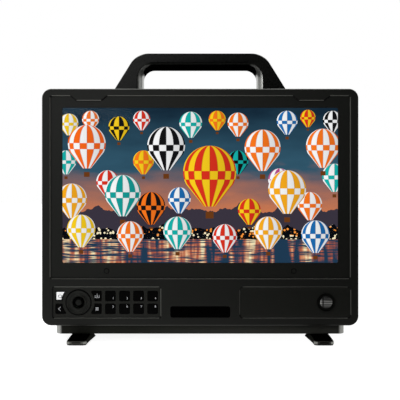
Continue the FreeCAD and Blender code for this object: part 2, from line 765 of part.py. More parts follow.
def rear_housing():
    shell = front_prism(body_outline, BEZEL_DEPTH, BODY_DEPTH)
    shell = shell.makeFillet(REAR_EDGE_R, edges_at_depth(shell, BODY_DEPTH))
    shell = shell.makeChamfer(PARTING_CHAMFER, edges_at_depth(shell, BEZEL_DEPTH))
    shell = shell.cut(front_prism(grown(body_outline, -SIDE_WALL), BEZEL_DEPTH, rear_inner))
    pad_outline = rectangle(rear_pad_size, rear_pad_size, REAR_PAD_CORNER_R, 0, rear_pad_z)
    added = [front_prism(pad_outline, rear_inner, rear_pad_back)]
    added += [
        front_disc(COLUMN_R, x, z, mid_plate_back, rear_inner)
        for x, z in plate_columns + low_columns
    ]
    insert_front = rear_pad_back - REAR_INSERT_LENGTH
    added += [front_disc(REAR_BOSS_R, x, z, insert_front, rear_inner) for x, z in rear_insert_places]
    screw_front = BODY_DEPTH - SMALL_SCREW_LENGTH - REAR_WALL
    added += [front_disc(SMALL_BOSS_R, x, z, screw_front, rear_inner) for x, z in connector_screws]
    added += [
        upright_disc(BASE_BOSS_R, x, depth, body_bottom + SIDE_WALL, base_bore_top)
        for x, depth in base_screws if depth > BEZEL_DEPTH
    ]
    shell = shell.fuse(added)
    plate_outline = rectangle(connector_width, CONNECTOR_HEIGHT, CONNECTOR_CORNER_R, 0, connector_z)
    cuts = [
        front_prism(grown(plate_outline, CONNECTOR_SLACK), connector_front, BODY_DEPTH),
        front_prism(grown(plate_outline, -CONNECTOR_LEDGE), rear_inner, connector_front),
    ]
    cuts += vent_slots(fan_x, screen_mid, FAN_SIZE / 2 - FAN_WALL)
    cuts += vent_slots(-fan_x, screen_mid, FAN_SIZE / 2 - FAN_WALL)
    cuts += [
        front_disc(REAR_INSERT_R + REAR_INSERT_WALL, x, z, insert_front, rear_pad_back)
        for x, z in rear_insert_places
    ]
    for x, z in plate_columns + low_columns:
        cuts.append(front_disc(HOUSING_SCREW_R + HEAD_SLACK, x, z, mid_plate_back, rear_inner))
        cuts.append(front_disc(HOUSING_SCREW_HEAD_R + HEAD_SLACK, x, z, rear_inner, BODY_DEPTH))
    for x, z in connector_screws:
        cuts.append(front_disc(SMALL_SCREW_R + THREAD_SLACK, x, z, screw_front, connector_front))
    for x, z in fan_screws:
        cuts.append(front_disc(SMALL_SCREW_R + THREAD_SLACK, x, z, rear_inner, BODY_DEPTH))
    for x, depth in base_screws:
        if depth > BEZEL_DEPTH:
            cuts.append(upright_disc(BASE_SCREW_R + THREAD_SLACK, x, depth, body_bottom, base_bore_top))
    for x, depth in handle_screw_places:
        cuts.append(upright_disc(HANDLE_SCREW_R + HEAD_SLACK, x, depth, body_top - SIDE_WALL, body_top))
    return shell.cut(cuts)


def housing_screws():
    grip_end = mid_plate_front - HOUSING_SCREW_GRIP
    return [
        socket_screw(
            HOUSING_SCREW_R, rear_inner - grip_end, HOUSING_SCREW_HEAD_R, HOUSING_SCREW_HEAD,
            Vector(x, rear_inner, z), Vector(0, -1, 0),
        )
        for x, z in plate_columns + low_columns
    ]


def screen_gasket():
    inside = grown(screen_outline, MODULE_OVERLAP - GASKET_WIDTH)
    ring = front_prism(module_outline, lip_back, glass_front)
    return ring.cut(front_prism(inside, lip_back, glass_front))


def mid_plate():
    left = -body_half + SIDE_WALL + MID_PLATE_GAP
    top = body_top - SIDE_WALL - MID_PLATE_GAP
    middle = (top + recess_bottom) / 2
    outline = rectangle(-2 * left, top - recess_bottom, BODY_CORNER_R - SIDE_WALL, 0, middle)
    plate = front_prism(outline, mid_plate_front, mid_plate_back)
    plate = plate.cut([
        front_disc(HOUSING_SCREW_R + HEAD_SLACK, x, z, mid_plate_front, mid_plate_back)
        for x, z in plate_columns
    ])
    posts = [front_disc(STANDOFF_R, x, z, mid_plate_back, main_board_front) for x, z in standoff_places()]
    return plate.fuse(posts)


def standoff_places():
    across = MAIN_BOARD_WIDTH / 2 - STANDOFF_INSET
    up = MAIN_BOARD_HEIGHT / 2 - STANDOFF_INSET
    return [(MAIN_BOARD_SHIFT + i * across, screen_mid + j * up) for i in (-1, 1) for j in (-1, 1)]


def main_board():
    outline = rectangle(MAIN_BOARD_WIDTH, MAIN_BOARD_HEIGHT, STANDOFF_R, MAIN_BOARD_SHIFT, screen_mid)
    return front_prism(outline, main_board_front, main_board_back)


def heat_sink():
    base_back_face = main_board_back + SINK_BASE
    fin_back = base_back_face + SINK_FIN_HEIGHT
    outline = rectangle(SINK_WIDTH, SINK_HEIGHT, SINK_FIN_WALL, MAIN_BOARD_SHIFT, screen_mid)
    sink = front_prism(outline, main_board_back, base_back_face)
    count = int((SINK_WIDTH - 2 * SINK_FIN_WALL) / SINK_FIN_PITCH) + 1
    fins = []
    for index in range(count):
        x = MAIN_BOARD_SHIFT + (index - (count - 1) / 2) * SINK_FIN_PITCH
        fin = rectangle(SINK_FIN_WALL, SINK_HEIGHT, 0, x, screen_mid)
        fins.append(front_prism(fin, base_back_face, fin_back))
    return sink.fuse(fins)


fan_front = rear_inner - FAN_DEPTH
fan_bore_r = FAN_SIZE / 2 - FAN_WALL
fan_back_plate = rear_inner - FAN_BACK


def fan_frame():
    outline = rectangle(FAN_SIZE, FAN_SIZE, FAN_CORNER_R, fan_x, screen_mid)
    frame = front_prism(outline, fan_front, rear_inner)
    frame = frame.cut(front_disc(fan_bore_r, fan_x, screen_mid, fan_front, rear_inner))
    hub = front_disc(FAN_HUB_R, fan_x, screen_mid, fan_back_plate, rear_inner)
    bearing_front = fan_front + FAN_ROTOR_INSET + FAN_HUB_WALL + FAN_BEARING_GAP
    bearing = front_disc(FAN_BEARING_R, fan_x, screen_mid, bearing_front, rear_inner)
    struts = []
    for index in range(FAN_STRUTS):
        strut = front_prism(
            rectangle(fan_bore_r, FAN_STRUT_WIDTH, 0, fan_x + (fan_bore_r + FAN_WALL) / 2, screen_mid),
            fan_back_plate, rear_inner,
        )
        strut.rotate(Vector(fan_x, 0, screen_mid), Vector(0, 1, 0), 90 + 360 * index / FAN_STRUTS)
        struts.append(strut)
    frame = frame.fuse([hub, bearing] + struts)
    cuts = [front_disc(FAN_SHAFT_R + RUNNING_SLACK, fan_x, screen_mid, fan_front, rear_inner)]
    for x, z in fan_screws:
        cuts.append(front_disc(SMALL_SCREW_R + THREAD_SLACK, x, z, fan_front, rear_inner))
    return frame.cut(cuts)


def fan_blade(turn):
    """One pitched blade, ruled from its root inside the hub's wall to its tip."""
    radial = Vector(math.cos(turn), 0, math.sin(turn))
    along = Vector(-math.sin(turn), 0, math.cos(turn))
    middle = Vector(fan_x, 0, screen_mid)
    front = fan_front + FAN_HUB_WALL
    back = fan_back_plate - FAN_HUB_WALL
    sections = []
    reaches = (
        (FAN_HUB_R - FAN_HUB_WALL / 2, FAN_BLADE_ROOT_SWEEP),
        (fan_bore_r - FAN_TIP_GAP, FAN_BLADE_TIP_SWEEP),
    )
    for reach, sweep in reaches:
        centre = middle + radial * reach
        corners = [
            centre - along * sweep + Vector(0, front, 0),
            centre - along * (sweep - FAN_BLADE_WALL) + Vector(0, front, 0),
            centre + along * (sweep + FAN_BLADE_WALL) + Vector(0, back, 0),
            centre + along * sweep + Vector(0, back, 0),
        ]
        sections.append(Part.makePolygon(corners + corners[:1]))
    return Part.makeLoft(sections, True, True)


def fan_rotor():
    front = fan_front + FAN_ROTOR_INSET
    floor = front + FAN_HUB_WALL
    rim = fan_back_plate - AXIAL_SLACK
    cup = turned(
        [
            (0, front),
            (FAN_HUB_R - FAN_HUB_WALL, front),
            (FAN_HUB_R, front + FAN_HUB_WALL),
            (FAN_HUB_R, rim),
            (FAN_HUB_R - FAN_HUB_WALL, rim),
            (FAN_HUB_R - FAN_HUB_WALL, floor),
            (FAN_SHAFT_R, floor),
            (FAN_SHAFT_R, rim),
            (0, rim),
        ],
        fan_x, screen_mid,
    )
    blades = [fan_blade(2 * math.pi * index / FAN_BLADES) for index in range(FAN_BLADES)]
    return cup.fuse(blades)


def control_panel():
    plate = front_prism(grown(control_outline, -PANEL_SLACK), PANEL_SETBACK, panel_back)
    cuts = [key_block(name, KEY_SLACK, PANEL_SETBACK, panel_back) for name in all_keys]
    cuts.append(front_disc(panel_hole_r, dial_x, panel_mid, PANEL_SETBACK, panel_back))
    return plate.cut(cuts)


def key(name):
    x, z = all_keys[name]
    cap = key_block(name, 0, key_front, key_flange_back)
    cap = cap.makeFillet(KEY_EDGE_R, edges_at_depth(cap, key_front))
    flange = key_block(name, KEY_FLANGE, key_flange_front, key_flange_back)
    stem = front_disc(KEY_STEM_R, x, z, key_flange_back, key_stem_end)
    return cap.fuse([flange, stem])


def key_board():
    outline = rectangle(
        key_board_right - key_board_left, panel_height + 2 * KEY_BOARD_EDGE, KEY_BOARD_CORNER_R,
        control_mid, panel_mid,
    )
    board = front_prism(outline, key_board_front, key_board_back)
    cuts = [
        front_disc(SMALL_SCREW_R + THREAD_SLACK, x, z, key_board_front, key_board_back)
        for x, z in key_board_screws
    ]
    cuts.append(front_disc(WELL_R, dial_x, panel_mid, key_board_front, key_board_back))
    return board.cut(cuts)


def key_switches():
    return [
        front_prism(rectangle(SWITCH_SIZE, SWITCH_SIZE, 0, x, z), switch_front, key_board_front)
        for x, z in all_keys.values()
    ]


dial_front = PANEL_SETBACK - DIAL_PROUD
dial_plate_back = dial_front + DIAL_PLATE
dial_bearing_r = WELL_R + GUIDE_STEP
dial_hub_end = key_board_front - GUIDE_FLANGE_THICKNESS - AXIAL_SLACK


def jog_dial():
    flange_front = panel_back + KEY_BACK_SLACK
    flange_back = flange_front + DIAL_FLANGE_THICKNESS
    inner_land = WELL_R + DIAL_EDGE + DIAL_LAND
    outer_land = DIAL_R - DIAL_EDGE - DIAL_LAND
    return turned(
        [
            (WELL_R, dial_front + DIAL_EDGE),
            (WELL_R + DIAL_EDGE, dial_front),
            (inner_land, dial_front),
            ((inner_land + outer_land) / 2, dial_front + DIAL_DISH, "arc"),
            (outer_land, dial_front),
            (DIAL_R - DIAL_EDGE, dial_front),
            (DIAL_R, dial_front + DIAL_EDGE),
            (DIAL_R, flange_front),
            (DIAL_R + DIAL_FLANGE, flange_front),
            (DIAL_R + DIAL_FLANGE, flange_back),
            (dial_bearing_r + DIAL_HUB_WALL, flange_back),
            (dial_bearing_r + DIAL_HUB_WALL, dial_hub_end),
            (dial_bearing_r, dial_hub_end),
            (dial_bearing_r, dial_plate_back),
            (WELL_R, dial_plate_back),
        ],
        dial_x, panel_mid,
    )


def dial_guide():
    outer = dial_bearing_r - RUNNING_SLACK
    inner = outer - GUIDE_WALL
    flange_front = key_board_front - GUIDE_FLANGE_THICKNESS
    return turned(
        [
            (inner, dial_plate_back + AXIAL_SLACK),
            (outer, dial_plate_back + AXIAL_SLACK),
            (outer, flange_front),
            (outer + GUIDE_FLANGE, flange_front),
            (outer + GUIDE_FLANGE, key_board_front),
            (inner, key_board_front),
        ],
        dial_x, panel_mid,
    )


yoke_inner_r = STICK_HUB_R + YOKE_GAP
yoke_outer_r = yoke_inner_r + YOKE_WALL
cradle_r = yoke_outer_r + CRADLE_GAP
cradle_half = cradle_r + CRADLE_WALL
cradle_back = stick_pivot_depth + STICK_PIVOT_DROP + CRADLE_FLOOR
stick_pivot = Vector(dial_x, stick_pivot_depth, panel_mid)


def joystick_base():
    """Cradle behind the key board, in which the yoke swings on its two trunnions."""
    outline = rectangle(2 * cradle_half, 2 * cradle_half, CRADLE_CORNER_R, dial_x, panel_mid)
    block = front_prism(outline, key_board_back, cradle_back)
    well = front_disc(cradle_r, dial_x, panel_mid, key_board_back, cradle_back - CRADLE_FLOOR)
    reach = cradle_r + TRUNNION_GRIP + AXIAL_SLACK
    bearing = Part.makeCylinder(
        TRUNNION_R + RUNNING_SLACK, 2 * reach, stick_pivot - Vector(reach, 0, 0), Vector(1, 0, 0)
    )
    return block.cut([well, bearing])


def joystick_yoke():
    front = stick_pivot_depth - YOKE_THICKNESS / 2
    back = stick_pivot_depth + YOKE_THICKNESS / 2
    ring = front_disc(yoke_outer_r, dial_x, panel_mid, front, back)
    reach = cradle_r + TRUNNION_GRIP
    pins = Part.makeCylinder(TRUNNION_R, 2 * reach, stick_pivot - Vector(reach, 0, 0), Vector(1, 0, 0))
    bore = front_disc(yoke_inner_r, dial_x, panel_mid, front, back)
    bearing = Part.makeCylinder(
        TRUNNION_R + RUNNING_SLACK, 2 * yoke_outer_r, stick_pivot - Vector(0, 0, yoke_outer_r)
    )
    return ring.fuse(pins).cut([bore, bearing])


cap_back = cap_front + STICK_NUB_HEIGHT + STICK_CAP_LENGTH
stick_tip = cap_front + STICK_CAP_SKIN + STICK_PRESS + SWITCH_GAP
collar_front = cap_back + STICK_PRESS + SWITCH_GAP


def joystick_stick():
    hub_front = stick_pivot_depth - STICK_HUB_LENGTH / 2
    hub_back = stick_pivot_depth + STICK_HUB_LENGTH / 2
    body = turned(
        [
            (0, stick_tip),
            (STICK_R, stick_tip),
            (STICK_R, collar_front),
            (STICK_COLLAR_R, collar_front),
            (STICK_COLLAR_R, collar_front + STICK_COLLAR_THICKNESS),
            (STICK_R, collar_front + STICK_COLLAR_THICKNESS),
            (STICK_R, hub_front),
            (STICK_HUB_R, hub_front),
            (STICK_HUB_R, hub_back),
            (0, hub_back),
        ],
        dial_x, panel_mid,
    )
    reach = yoke_inner_r + TRUNNION_GRIP
    pins = Part.makeCylinder(TRUNNION_R, 2 * reach, stick_pivot - Vector(0, 0, reach))
    return body.fuse(pins)


def joystick_cap():
    shoulder = cap_front + STICK_NUB_HEIGHT
    bore_r = STICK_R + RUNNING_SLACK
    return turned(
        [
            (0, cap_front),
            (STICK_NUB_R / 2, cap_front + STICK_NUB_DOME / 4, "arc"),
            (STICK_NUB_R, cap_front + STICK_NUB_DOME),
            (STICK_NUB_R, shoulder),
            (STICK_CAP_R, shoulder + STICK_SHOULDER),
            (STICK_CAP_R, cap_back - STICK_CAP_TAPER),
            (STICK_COLLAR_R, cap_back),
            (bore_r, cap_back),
            (bore_r, cap_front + STICK_CAP_SKIN),
            (0, cap_front + STICK_CAP_SKIN),
        ],
        dial_x, panel_mid,
    )


def side_panel():
    plate = front_prism(grown(side_outline, -PANEL_SLACK), PANEL_SETBACK, panel_back)
    boss = front_disc(DISH_FLOOR_R + DISH_BOSS_WALL, knob_x, panel_mid, PANEL_SETBACK, dish_back)
    plate = plate.fuse(boss)
    grooves = []
    count = int((panel_height - 2 * SIDE_PANEL_CORNER_R) / RIB_PITCH)
    for index in range(count + 1):
        z = panel_mid + (index - count / 2) * RIB_PITCH
        outline = rectangle(SIDE_PANEL_WIDTH - 2 * RIB_END_PAD, RIB_GROOVE, 0, side_mid, z)
        grooves.append(front_prism(outline, PANEL_SETBACK, PANEL_SETBACK + RIB_DEPTH))
    dish = turned(
        [
            (0, PANEL_SETBACK),
            (DISH_R, PANEL_SETBACK),
            (DISH_FLOOR_R, dish_floor),
            (0, dish_floor),
        ],
        knob_x, panel_mid,
    )
    bush_hole = front_disc(BUSH_R + RUNNING_SLACK, knob_x, panel_mid, dish_floor, dish_back)
    return plate.cut(grooves).cut([dish, bush_hole])


knob_front = PANEL_SETBACK - KNOB_PROUD
knob_back = dish_floor - AXIAL_SLACK
nut_front = dish_floor - NUT_THICKNESS
bush_front = nut_front - BUSH_PROUD
shaft_front = knob_front + KNOB_FACE / 2
pot_back = dish_back + POT_DEPTH


def volume_knob():
    hub_back = bush_front - AXIAL_SLACK
    body = turned(
        [
            (0, knob_front),
            (KNOB_R / 2, knob_front + KNOB_DOME / 4, "arc"),
            (KNOB_R - KNOB_EDGE, knob_front + KNOB_DOME),
            (KNOB_R, knob_front + KNOB_DOME + KNOB_EDGE),
            (KNOB_R, knob_back),
            (KNOB_R - KNOB_SKIRT_WALL, knob_back),
            (KNOB_R - KNOB_SKIRT_WALL, hub_back),
            (SHAFT_R + THREAD_SLACK, hub_back),
            (SHAFT_R + THREAD_SLACK, shaft_front),
            (0, shaft_front),
        ],
        knob_x, panel_mid,
    )
    flute_front = knob_front + KNOB_DOME + KNOB_EDGE
    flutes = []
    for index in range(KNOB_FLUTES):
        turn = 2 * math.pi * index / KNOB_FLUTES
        x = knob_x + KNOB_R * math.cos(turn)
        z = panel_mid + KNOB_R * math.sin(turn)
        flutes.append(front_disc(KNOB_FLUTE_R, x, z, flute_front, knob_back))
    return body.cut(flutes)


def knob_shaft():
    return front_disc(SHAFT_R, knob_x, panel_mid, shaft_front, pot_back - POT_WALL - AXIAL_SLACK)


def volume_pot():
    case = front_prism(rectangle(POT_SIZE, POT_SIZE, POT_CORNER_R, knob_x, panel_mid), dish_back, pot_back)
    bush = front_disc(BUSH_R, knob_x, panel_mid, bush_front, dish_back)
    bore = front_disc(SHAFT_R + RUNNING_SLACK, knob_x, panel_mid, bush_front, pot_back - POT_WALL)
    return case.fuse(bush).cut(bore)


def pot_nut():
    nut = front_prism(hexagon(NUT_FLATS, knob_x, panel_mid), nut_front, dish_floor)
    return nut.cut(front_disc(BUSH_R + THREAD_SLACK, knob_x, panel_mid, nut_front, dish_floor))


def badge_plate():
    plate = front_prism(grown(badge_outline, -BADGE_SLACK), -BADGE_PROUD, BADGE_DEPTH)
    return plate.makeChamfer(BADGE_PROUD, edges_at_depth(plate, -BADGE_PROUD))


def guard_magnets():
    magnet_back = RECESS_DEPTH + MAGNET_THICKNESS
    return [
        front_disc(MAGNET_R - THREAD_SLACK, side * magnet_x, magnet_z, RECESS_DEPTH, magnet_back)
        for side in (-1, 1)
    ]


def in_opening(edge, half, top):
    """True for an edge that rises round the opening under the grip."""
    box = edge.BoundBox
    inside = box.XMax < half + NEAR and box.XMin > -half - NEAR and box.ZMax < top + NEAR
    return inside and (box.ZMax > body_top + NEAR)


def on_outside(edge, half, top):
    """True for an edge of the handle's outer sides or top."""
    box = edge.BoundBox
    reaches = box.XMax > half - NEAR or box.XMin < NEAR - half or box.ZMax > top - NEAR
    return reaches and box.ZMax > body_top + NEAR


def handle():
    inner = HANDLE_SPAN / 2
    outer = inner + HANDLE_FOOT
    top = body_top + HANDLE_HEIGHT
    grip_bottom = top - HANDLE_GRIP
    outline = [
        (inner, body_top, 0),
        (outer, body_top, 0),
        (outer - HANDLE_LEAN, top, HANDLE_OUTER_R),
        (HANDLE_LEAN - outer, top, HANDLE_OUTER_R),
        (-outer, body_top, 0),
        (-inner, body_top, 0),
        (-inner, grip_bottom, HANDLE_INNER_R),
        (inner, grip_bottom, HANDLE_INNER_R),
    ]
    front = handle_mid - HANDLE_DEPTH / 2
    back = handle_mid + HANDLE_DEPTH / 2
    bar = front_prism(outline, front, back)
    ends = edges_at_depth(bar, front) + edges_at_depth(bar, back)
    bar = bar.makeFillet(HANDLE_EDGE_R, [edge for edge in ends if in_opening(edge, inner, grip_bottom)])
    ends = edges_at_depth(bar, front) + edges_at_depth(bar, back)
    bar = bar.makeFillet(HANDLE_RIM_R, [edge for edge in ends if on_outside(edge, outer, top)])
    bore_top = body_top + HANDLE_SCREW_GRIP + HANDLE_BORE_SPARE
    bores = [
        upright_disc(HANDLE_SCREW_R + THREAD_SLACK, x, depth, body_top, bore_top)
        for x, depth in handle_screw_places
    ]
    return bar.cut(bores)


def handle_screws():
    return [
        socket_screw(
            HANDLE_SCREW_R, SIDE_WALL + HANDLE_SCREW_GRIP, HANDLE_SCREW_HEAD_R, HANDLE_SCREW_HEAD,
            Vector(x, depth, body_top - SIDE_WALL), Vector(0, 0, 1),
        )
        for x, depth in handle_screw_places
    ]


base_threads = [
    (0.0, TRIPOD_R),
    (-SIDE_THREAD_SPACING / 2, SIDE_THREAD_R),
    (SIDE_THREAD_SPACING / 2, SIDE_THREAD_R),
]


def base_plate():
    outline = rectangle(2 * base_half, BASE_DEPTH, BASE_CORNER_R, 0, base_thread_depth)
    plate = plan_prism(outline, FOOT_HEIGHT, body_bottom)
    plate = plate.makeFillet(BASE_EDGE_R, edges_at_height(plate, FOOT_HEIGHT))
    cuts = [
        upright_disc(radius + TRIPOD_INSERT_WALL, x, base_thread_depth, FOOT_HEIGHT, body_bottom)
        for x, radius in base_threads
    ]
    for x, depth in base_screws:
        cuts.append(upright_disc(BASE_SCREW_R + HEAD_SLACK, x, depth, FOOT_HEIGHT, body_bottom))
        cuts.append(Part.makeCone(
            BASE_SCREW_HEAD_R + HEAD_SLACK, BASE_SCREW_R + HEAD_SLACK, BASE_SCREW_R,
            Vector(x, depth, FOOT_HEIGHT),
        ))
    for side in (-1, 1):
        top = FOOT_HEIGHT + PIVOT_GRIP
        cuts.append(upright_disc(
            PIVOT_THREAD_R + THREAD_SLACK, side * foot_pivot_x, foot_pivot_depth, FOOT_HEIGHT, top
        ))
    return plate.cut(cuts)


def base_plate_screws():
    screws = []
    for x, depth in base_screws:
        head = Part.makeCone(BASE_SCREW_HEAD_R, BASE_SCREW_R, BASE_SCREW_R, Vector(x, depth, FOOT_HEIGHT))
        shank = upright_disc(BASE_SCREW_R, x, depth, FOOT_HEIGHT + BASE_SCREW_R, base_bore_top)
        socket = upright_disc(BASE_SOCKET_R, x, depth, FOOT_HEIGHT, FOOT_HEIGHT + BASE_SOCKET_DEPTH)
        screws.append(head.fuse(shank).cut(socket))
    return screws


def thread_inserts():
    inserts = []
    for x, radius in base_threads:
        sleeve = upright_disc(radius + TRIPOD_INSERT_WALL, x, base_thread_depth, FOOT_HEIGHT, body_bottom)
        inserts.append(sleeve.cut(upright_disc(radius, x, base_thread_depth, FOOT_HEIGHT, body_bottom)))
    return inserts


foot_top = FOOT_HEIGHT - FOOT_SLACK
pivot_seat = PAD_THICKNESS + PIVOT_HEAD_HEIGHT + FOOT_SLACK


def foot_wire(x, tip_width, heel_width, heel_r, height):
    """Plan of a foot at one height: square-ended, wider at the heel, with rounded corners."""
    tip = foot_pivot_depth - FOOT_LENGTH
    heel = foot_pivot_depth + heel_width / 2
    outline = [
        (x - tip_width / 2, tip, FOOT_TIP_R),
        (x + tip_width / 2, tip, FOOT_TIP_R),
        (x + heel_width / 2, heel, heel_r),
        (x - heel_width / 2, heel, heel_r),
    ]
    return wire_through(outline, lambda u, v: Vector(u, v, height))


def foot_arm(side):
    """Bar from the pivot to its tip, thinner towards the tip, with a recess for the pivot's head."""
    x = side * foot_pivot_x
    tip = foot_pivot_depth - FOOT_LENGTH
    sole = foot_wire(x, FOOT_TIP_WIDTH, FOOT_HEEL_WIDTH, FOOT_HEEL_R, PAD_THICKNESS)
    crown = foot_wire(x, FOOT_WIDTH, FOOT_WIDTH, FOOT_HEEL_TOP_R, foot_top)
    bar = Part.makeLoft([sole, crown], True, True)
    tip_top = PAD_THICKNESS + FOOT_TIP_THICKNESS
    slope_end = BASE_SETBACK + FOOT_HEEL_INSET
    wedge = Part.Face(Part.makePolygon([
        Vector(x - FOOT_HEEL_WIDTH, slope_end, foot_top),
        Vector(x - FOOT_HEEL_WIDTH, tip, tip_top),
        Vector(x - FOOT_HEEL_WIDTH, tip, foot_top),
        Vector(x - FOOT_HEEL_WIDTH, slope_end, foot_top),
    ])).extrude(Vector(2 * FOOT_HEEL_WIDTH, 0, 0))
    bar = bar.cut(wedge)
    nose = [
        edge for edge in bar.Edges
        if abs(edge.BoundBox.ZMin - tip_top) < NEAR and edge.BoundBox.YMax < tip + NEAR
    ]
    bar = bar.makeChamfer(FOOT_EDGE_R, nose)
    return bar.cut([
        upright_disc(PIVOT_R + RUNNING_SLACK, x, foot_pivot_depth, PAD_THICKNESS, foot_top),
        upright_disc(PIVOT_HEAD_R + HEAD_SLACK, x, foot_pivot_depth, PAD_THICKNESS, pivot_seat),
    ])


def foot_pad(side):
    x = side * foot_pivot_x
    width = FOOT_TIP_WIDTH - 2 * PAD_INSET
    tip = foot_pivot_depth - FOOT_LENGTH + PAD_INSET
    outline = rectangle(width, PAD_LENGTH, FOOT_TIP_R - PAD_INSET, x, tip + PAD_LENGTH / 2)
    return plan_prism(outline, 0, PAD_THICKNESS)


def foot_pivots():
    """Shoulder screws: the head in the foot's recess, the shoulder as the bearing, the thread above."""
    pivots = []
    for side in (-1, 1):
        place = (side * foot_pivot_x, foot_pivot_depth)
        head_top = pivot_seat - FOOT_SLACK
        head = upright_disc(PIVOT_HEAD_R, *place, head_top - PIVOT_HEAD_HEIGHT, head_top)
        shoulder = upright_disc(PIVOT_R, *place, head_top, FOOT_HEIGHT)
        thread = upright_disc(PIVOT_THREAD_R, *place, FOOT_HEIGHT, FOOT_HEIGHT + PIVOT_GRIP)
        socket = upright_disc(PIVOT_R / 2, *place, head_top - PIVOT_HEAD_HEIGHT, head_top)
        pivots.append(head.fuse([shoulder, thread]).cut(socket))
    return pivots


def rear_bumpers():
    bumpers = []
    for side in (-1, 1):
        x = side * (base_half - BUMPER_SIDE_INSET)
        disc = upright_disc(BUMPER_R, x, base_back - BUMPER_REAR_INSET, 0, FOOT_HEIGHT)
        bumpers.append(disc.makeChamfer(BUMPER_EDGE, edges_at_height(disc, 0)))
    return bumpers


def rear_inserts():
    front = rear_pad_back - REAR_INSERT_LENGTH
    outer = REAR_INSERT_R + REAR_INSERT_WALL
    return [
        front_disc(outer, x, z, front, rear_pad_back)
        .cut(front_disc(REAR_INSERT_R, x, z, front, rear_pad_back))
        for x, z in rear_insert_places
    ]


def small_screws():
    """Alike screws of the key board, the connector panel and the fan."""
    screws = []
    seats = [(x, key_board_back, z) for x, z in key_board_screws]
    seats += [(x, BODY_DEPTH, z) for x, z in connector_screws + fan_screws]
    for x, depth, z in seats:
        screws.append(socket_screw(
            SMALL_SCREW_R, SMALL_SCREW_LENGTH, SMALL_SCREW_HEAD_R, SMALL_SCREW_HEAD,
            Vector(x, depth, z), Vector(0, -1, 0),
        ))
    return screws


def hdmi_outline(x, skin):
    """Socket outline with its two lower corners cut off, smaller by skin."""
    half = HDMI_WIDTH / 2 - skin
    top = connector_z + HDMI_HEIGHT / 2 - skin
    bottom = connector_z - HDMI_HEIGHT / 2 + skin
    return [
        (x - half + HDMI_CUT, bottom, 0),
        (x + half - HDMI_CUT, bottom, 0),
        (x + half, bottom + HDMI_CUT, 0),
        (x + half, top, 0),
        (x - half, top, 0),
        (x - half, bottom + HDMI_CUT, 0),
    ]


def connector_panel():
    outline = rectangle(connector_width, CONNECTOR_HEIGHT, CONNECTOR_CORNER_R, 0, connector_z)
    plate = front_prism(outline, connector_front, BODY_DEPTH)
    holes = [
        front_disc(BNC_THREAD_R + CONNECTOR_SLACK, x, connector_z, connector_front, BODY_DEPTH)
        for x in bnc_xs
    ]
    holes += [front_prism(hdmi_outline(x, -CONNECTOR_SLACK), connector_front, BODY_DEPTH) for x in hdmi_xs]
    holes.append(front_disc(
        POWER_SHELL_R + CONNECTOR_SLACK, power_x, connector_z, connector_front, BODY_DEPTH
    ))
    phone_r = PHONE_NECK_R + CONNECTOR_SLACK
    holes.append(front_disc(phone_r, phone_x, connector_z, connector_front, BODY_DEPTH))
    holes += [
        front_disc(SMALL_SCREW_R + THREAD_SLACK, x, z, connector_front, BODY_DEPTH)
        for x, z in connector_screws
    ]
    return plate.cut(holes)


def connector_board():
    outline = rectangle(connector_width, CONNECTOR_HEIGHT, CONNECTOR_CORNER_R, 0, connector_z)
    front = connector_board_back - BOARD_THICKNESS
    inset = CONNECTOR_LEDGE + CONNECTOR_BOARD_MARGIN
    return front_prism(grown(outline, -inset), front, connector_board_back)


def bnc_jack(x):
    tip = BODY_DEPTH + BNC_LENGTH
    nut_back = BODY_DEPTH + BNC_NUT
    neck = BNC_THREAD_R - BNC_R
    body = turned(
        [
            (0, connector_board_back),
            (BNC_THREAD_R, connector_board_back),
            (BNC_THREAD_R, connector_front - BNC_SHOULDER),
            (BNC_SHOULDER_R, connector_front - BNC_SHOULDER),
            (BNC_SHOULDER_R, connector_front),
            (BNC_THREAD_R, connector_front),
            (BNC_THREAD_R, nut_back),
            (BNC_R, nut_back + neck),
            (BNC_R, tip),
            (BNC_BORE_R, tip),
            (BNC_BORE_R, nut_back),
            (BNC_CORE_R, nut_back),
            (BNC_CORE_R, tip - BNC_CORE_DROP),
            (0, tip - BNC_CORE_DROP),
        ],
        x, connector_z,
    )
    lug_depth = tip - BNC_LUG_DROP
    lug_from = (BNC_R + BNC_BORE_R) / 2
    lugs = [
        Part.makeCylinder(
            BNC_LUG_R, BNC_R + BNC_LUG_PROUD - lug_from,
            Vector(x + side * lug_from, lug_depth, connector_z), Vector(side, 0, 0),
        )
        for side in (-1, 1)
    ]
    return body.fuse(lugs)


def bnc_nuts():
    nut_back = BODY_DEPTH + BNC_NUT
    nuts = []
    for x in bnc_xs:
        nut = front_prism(hexagon(BNC_NUT_FLATS, x, connector_z), BODY_DEPTH, nut_back)
        nuts.append(nut.cut(front_disc(BNC_THREAD_R + THREAD_SLACK, x, connector_z, BODY_DEPTH, nut_back)))
    return nuts


def hdmi_socket(x):
    mouth = BODY_DEPTH + SOCKET_PROUD
    floor = mouth - HDMI_MOUTH_DEPTH
    shell = front_prism(hdmi_outline(x, 0), connector_board_back, mouth)
    shell = shell.cut(front_prism(hdmi_outline(x, HDMI_SKIN), floor, mouth))
    tongue = rectangle(HDMI_TONGUE_WIDTH, HDMI_TONGUE, 0, x, connector_z + HDMI_TONGUE_RISE)
    return shell.fuse(front_prism(tongue, floor, mouth - HDMI_TONGUE_DROP))


power_mouth = BODY_DEPTH + POWER_FLANGE
power_floor = connector_board_back + POWER_FLOOR


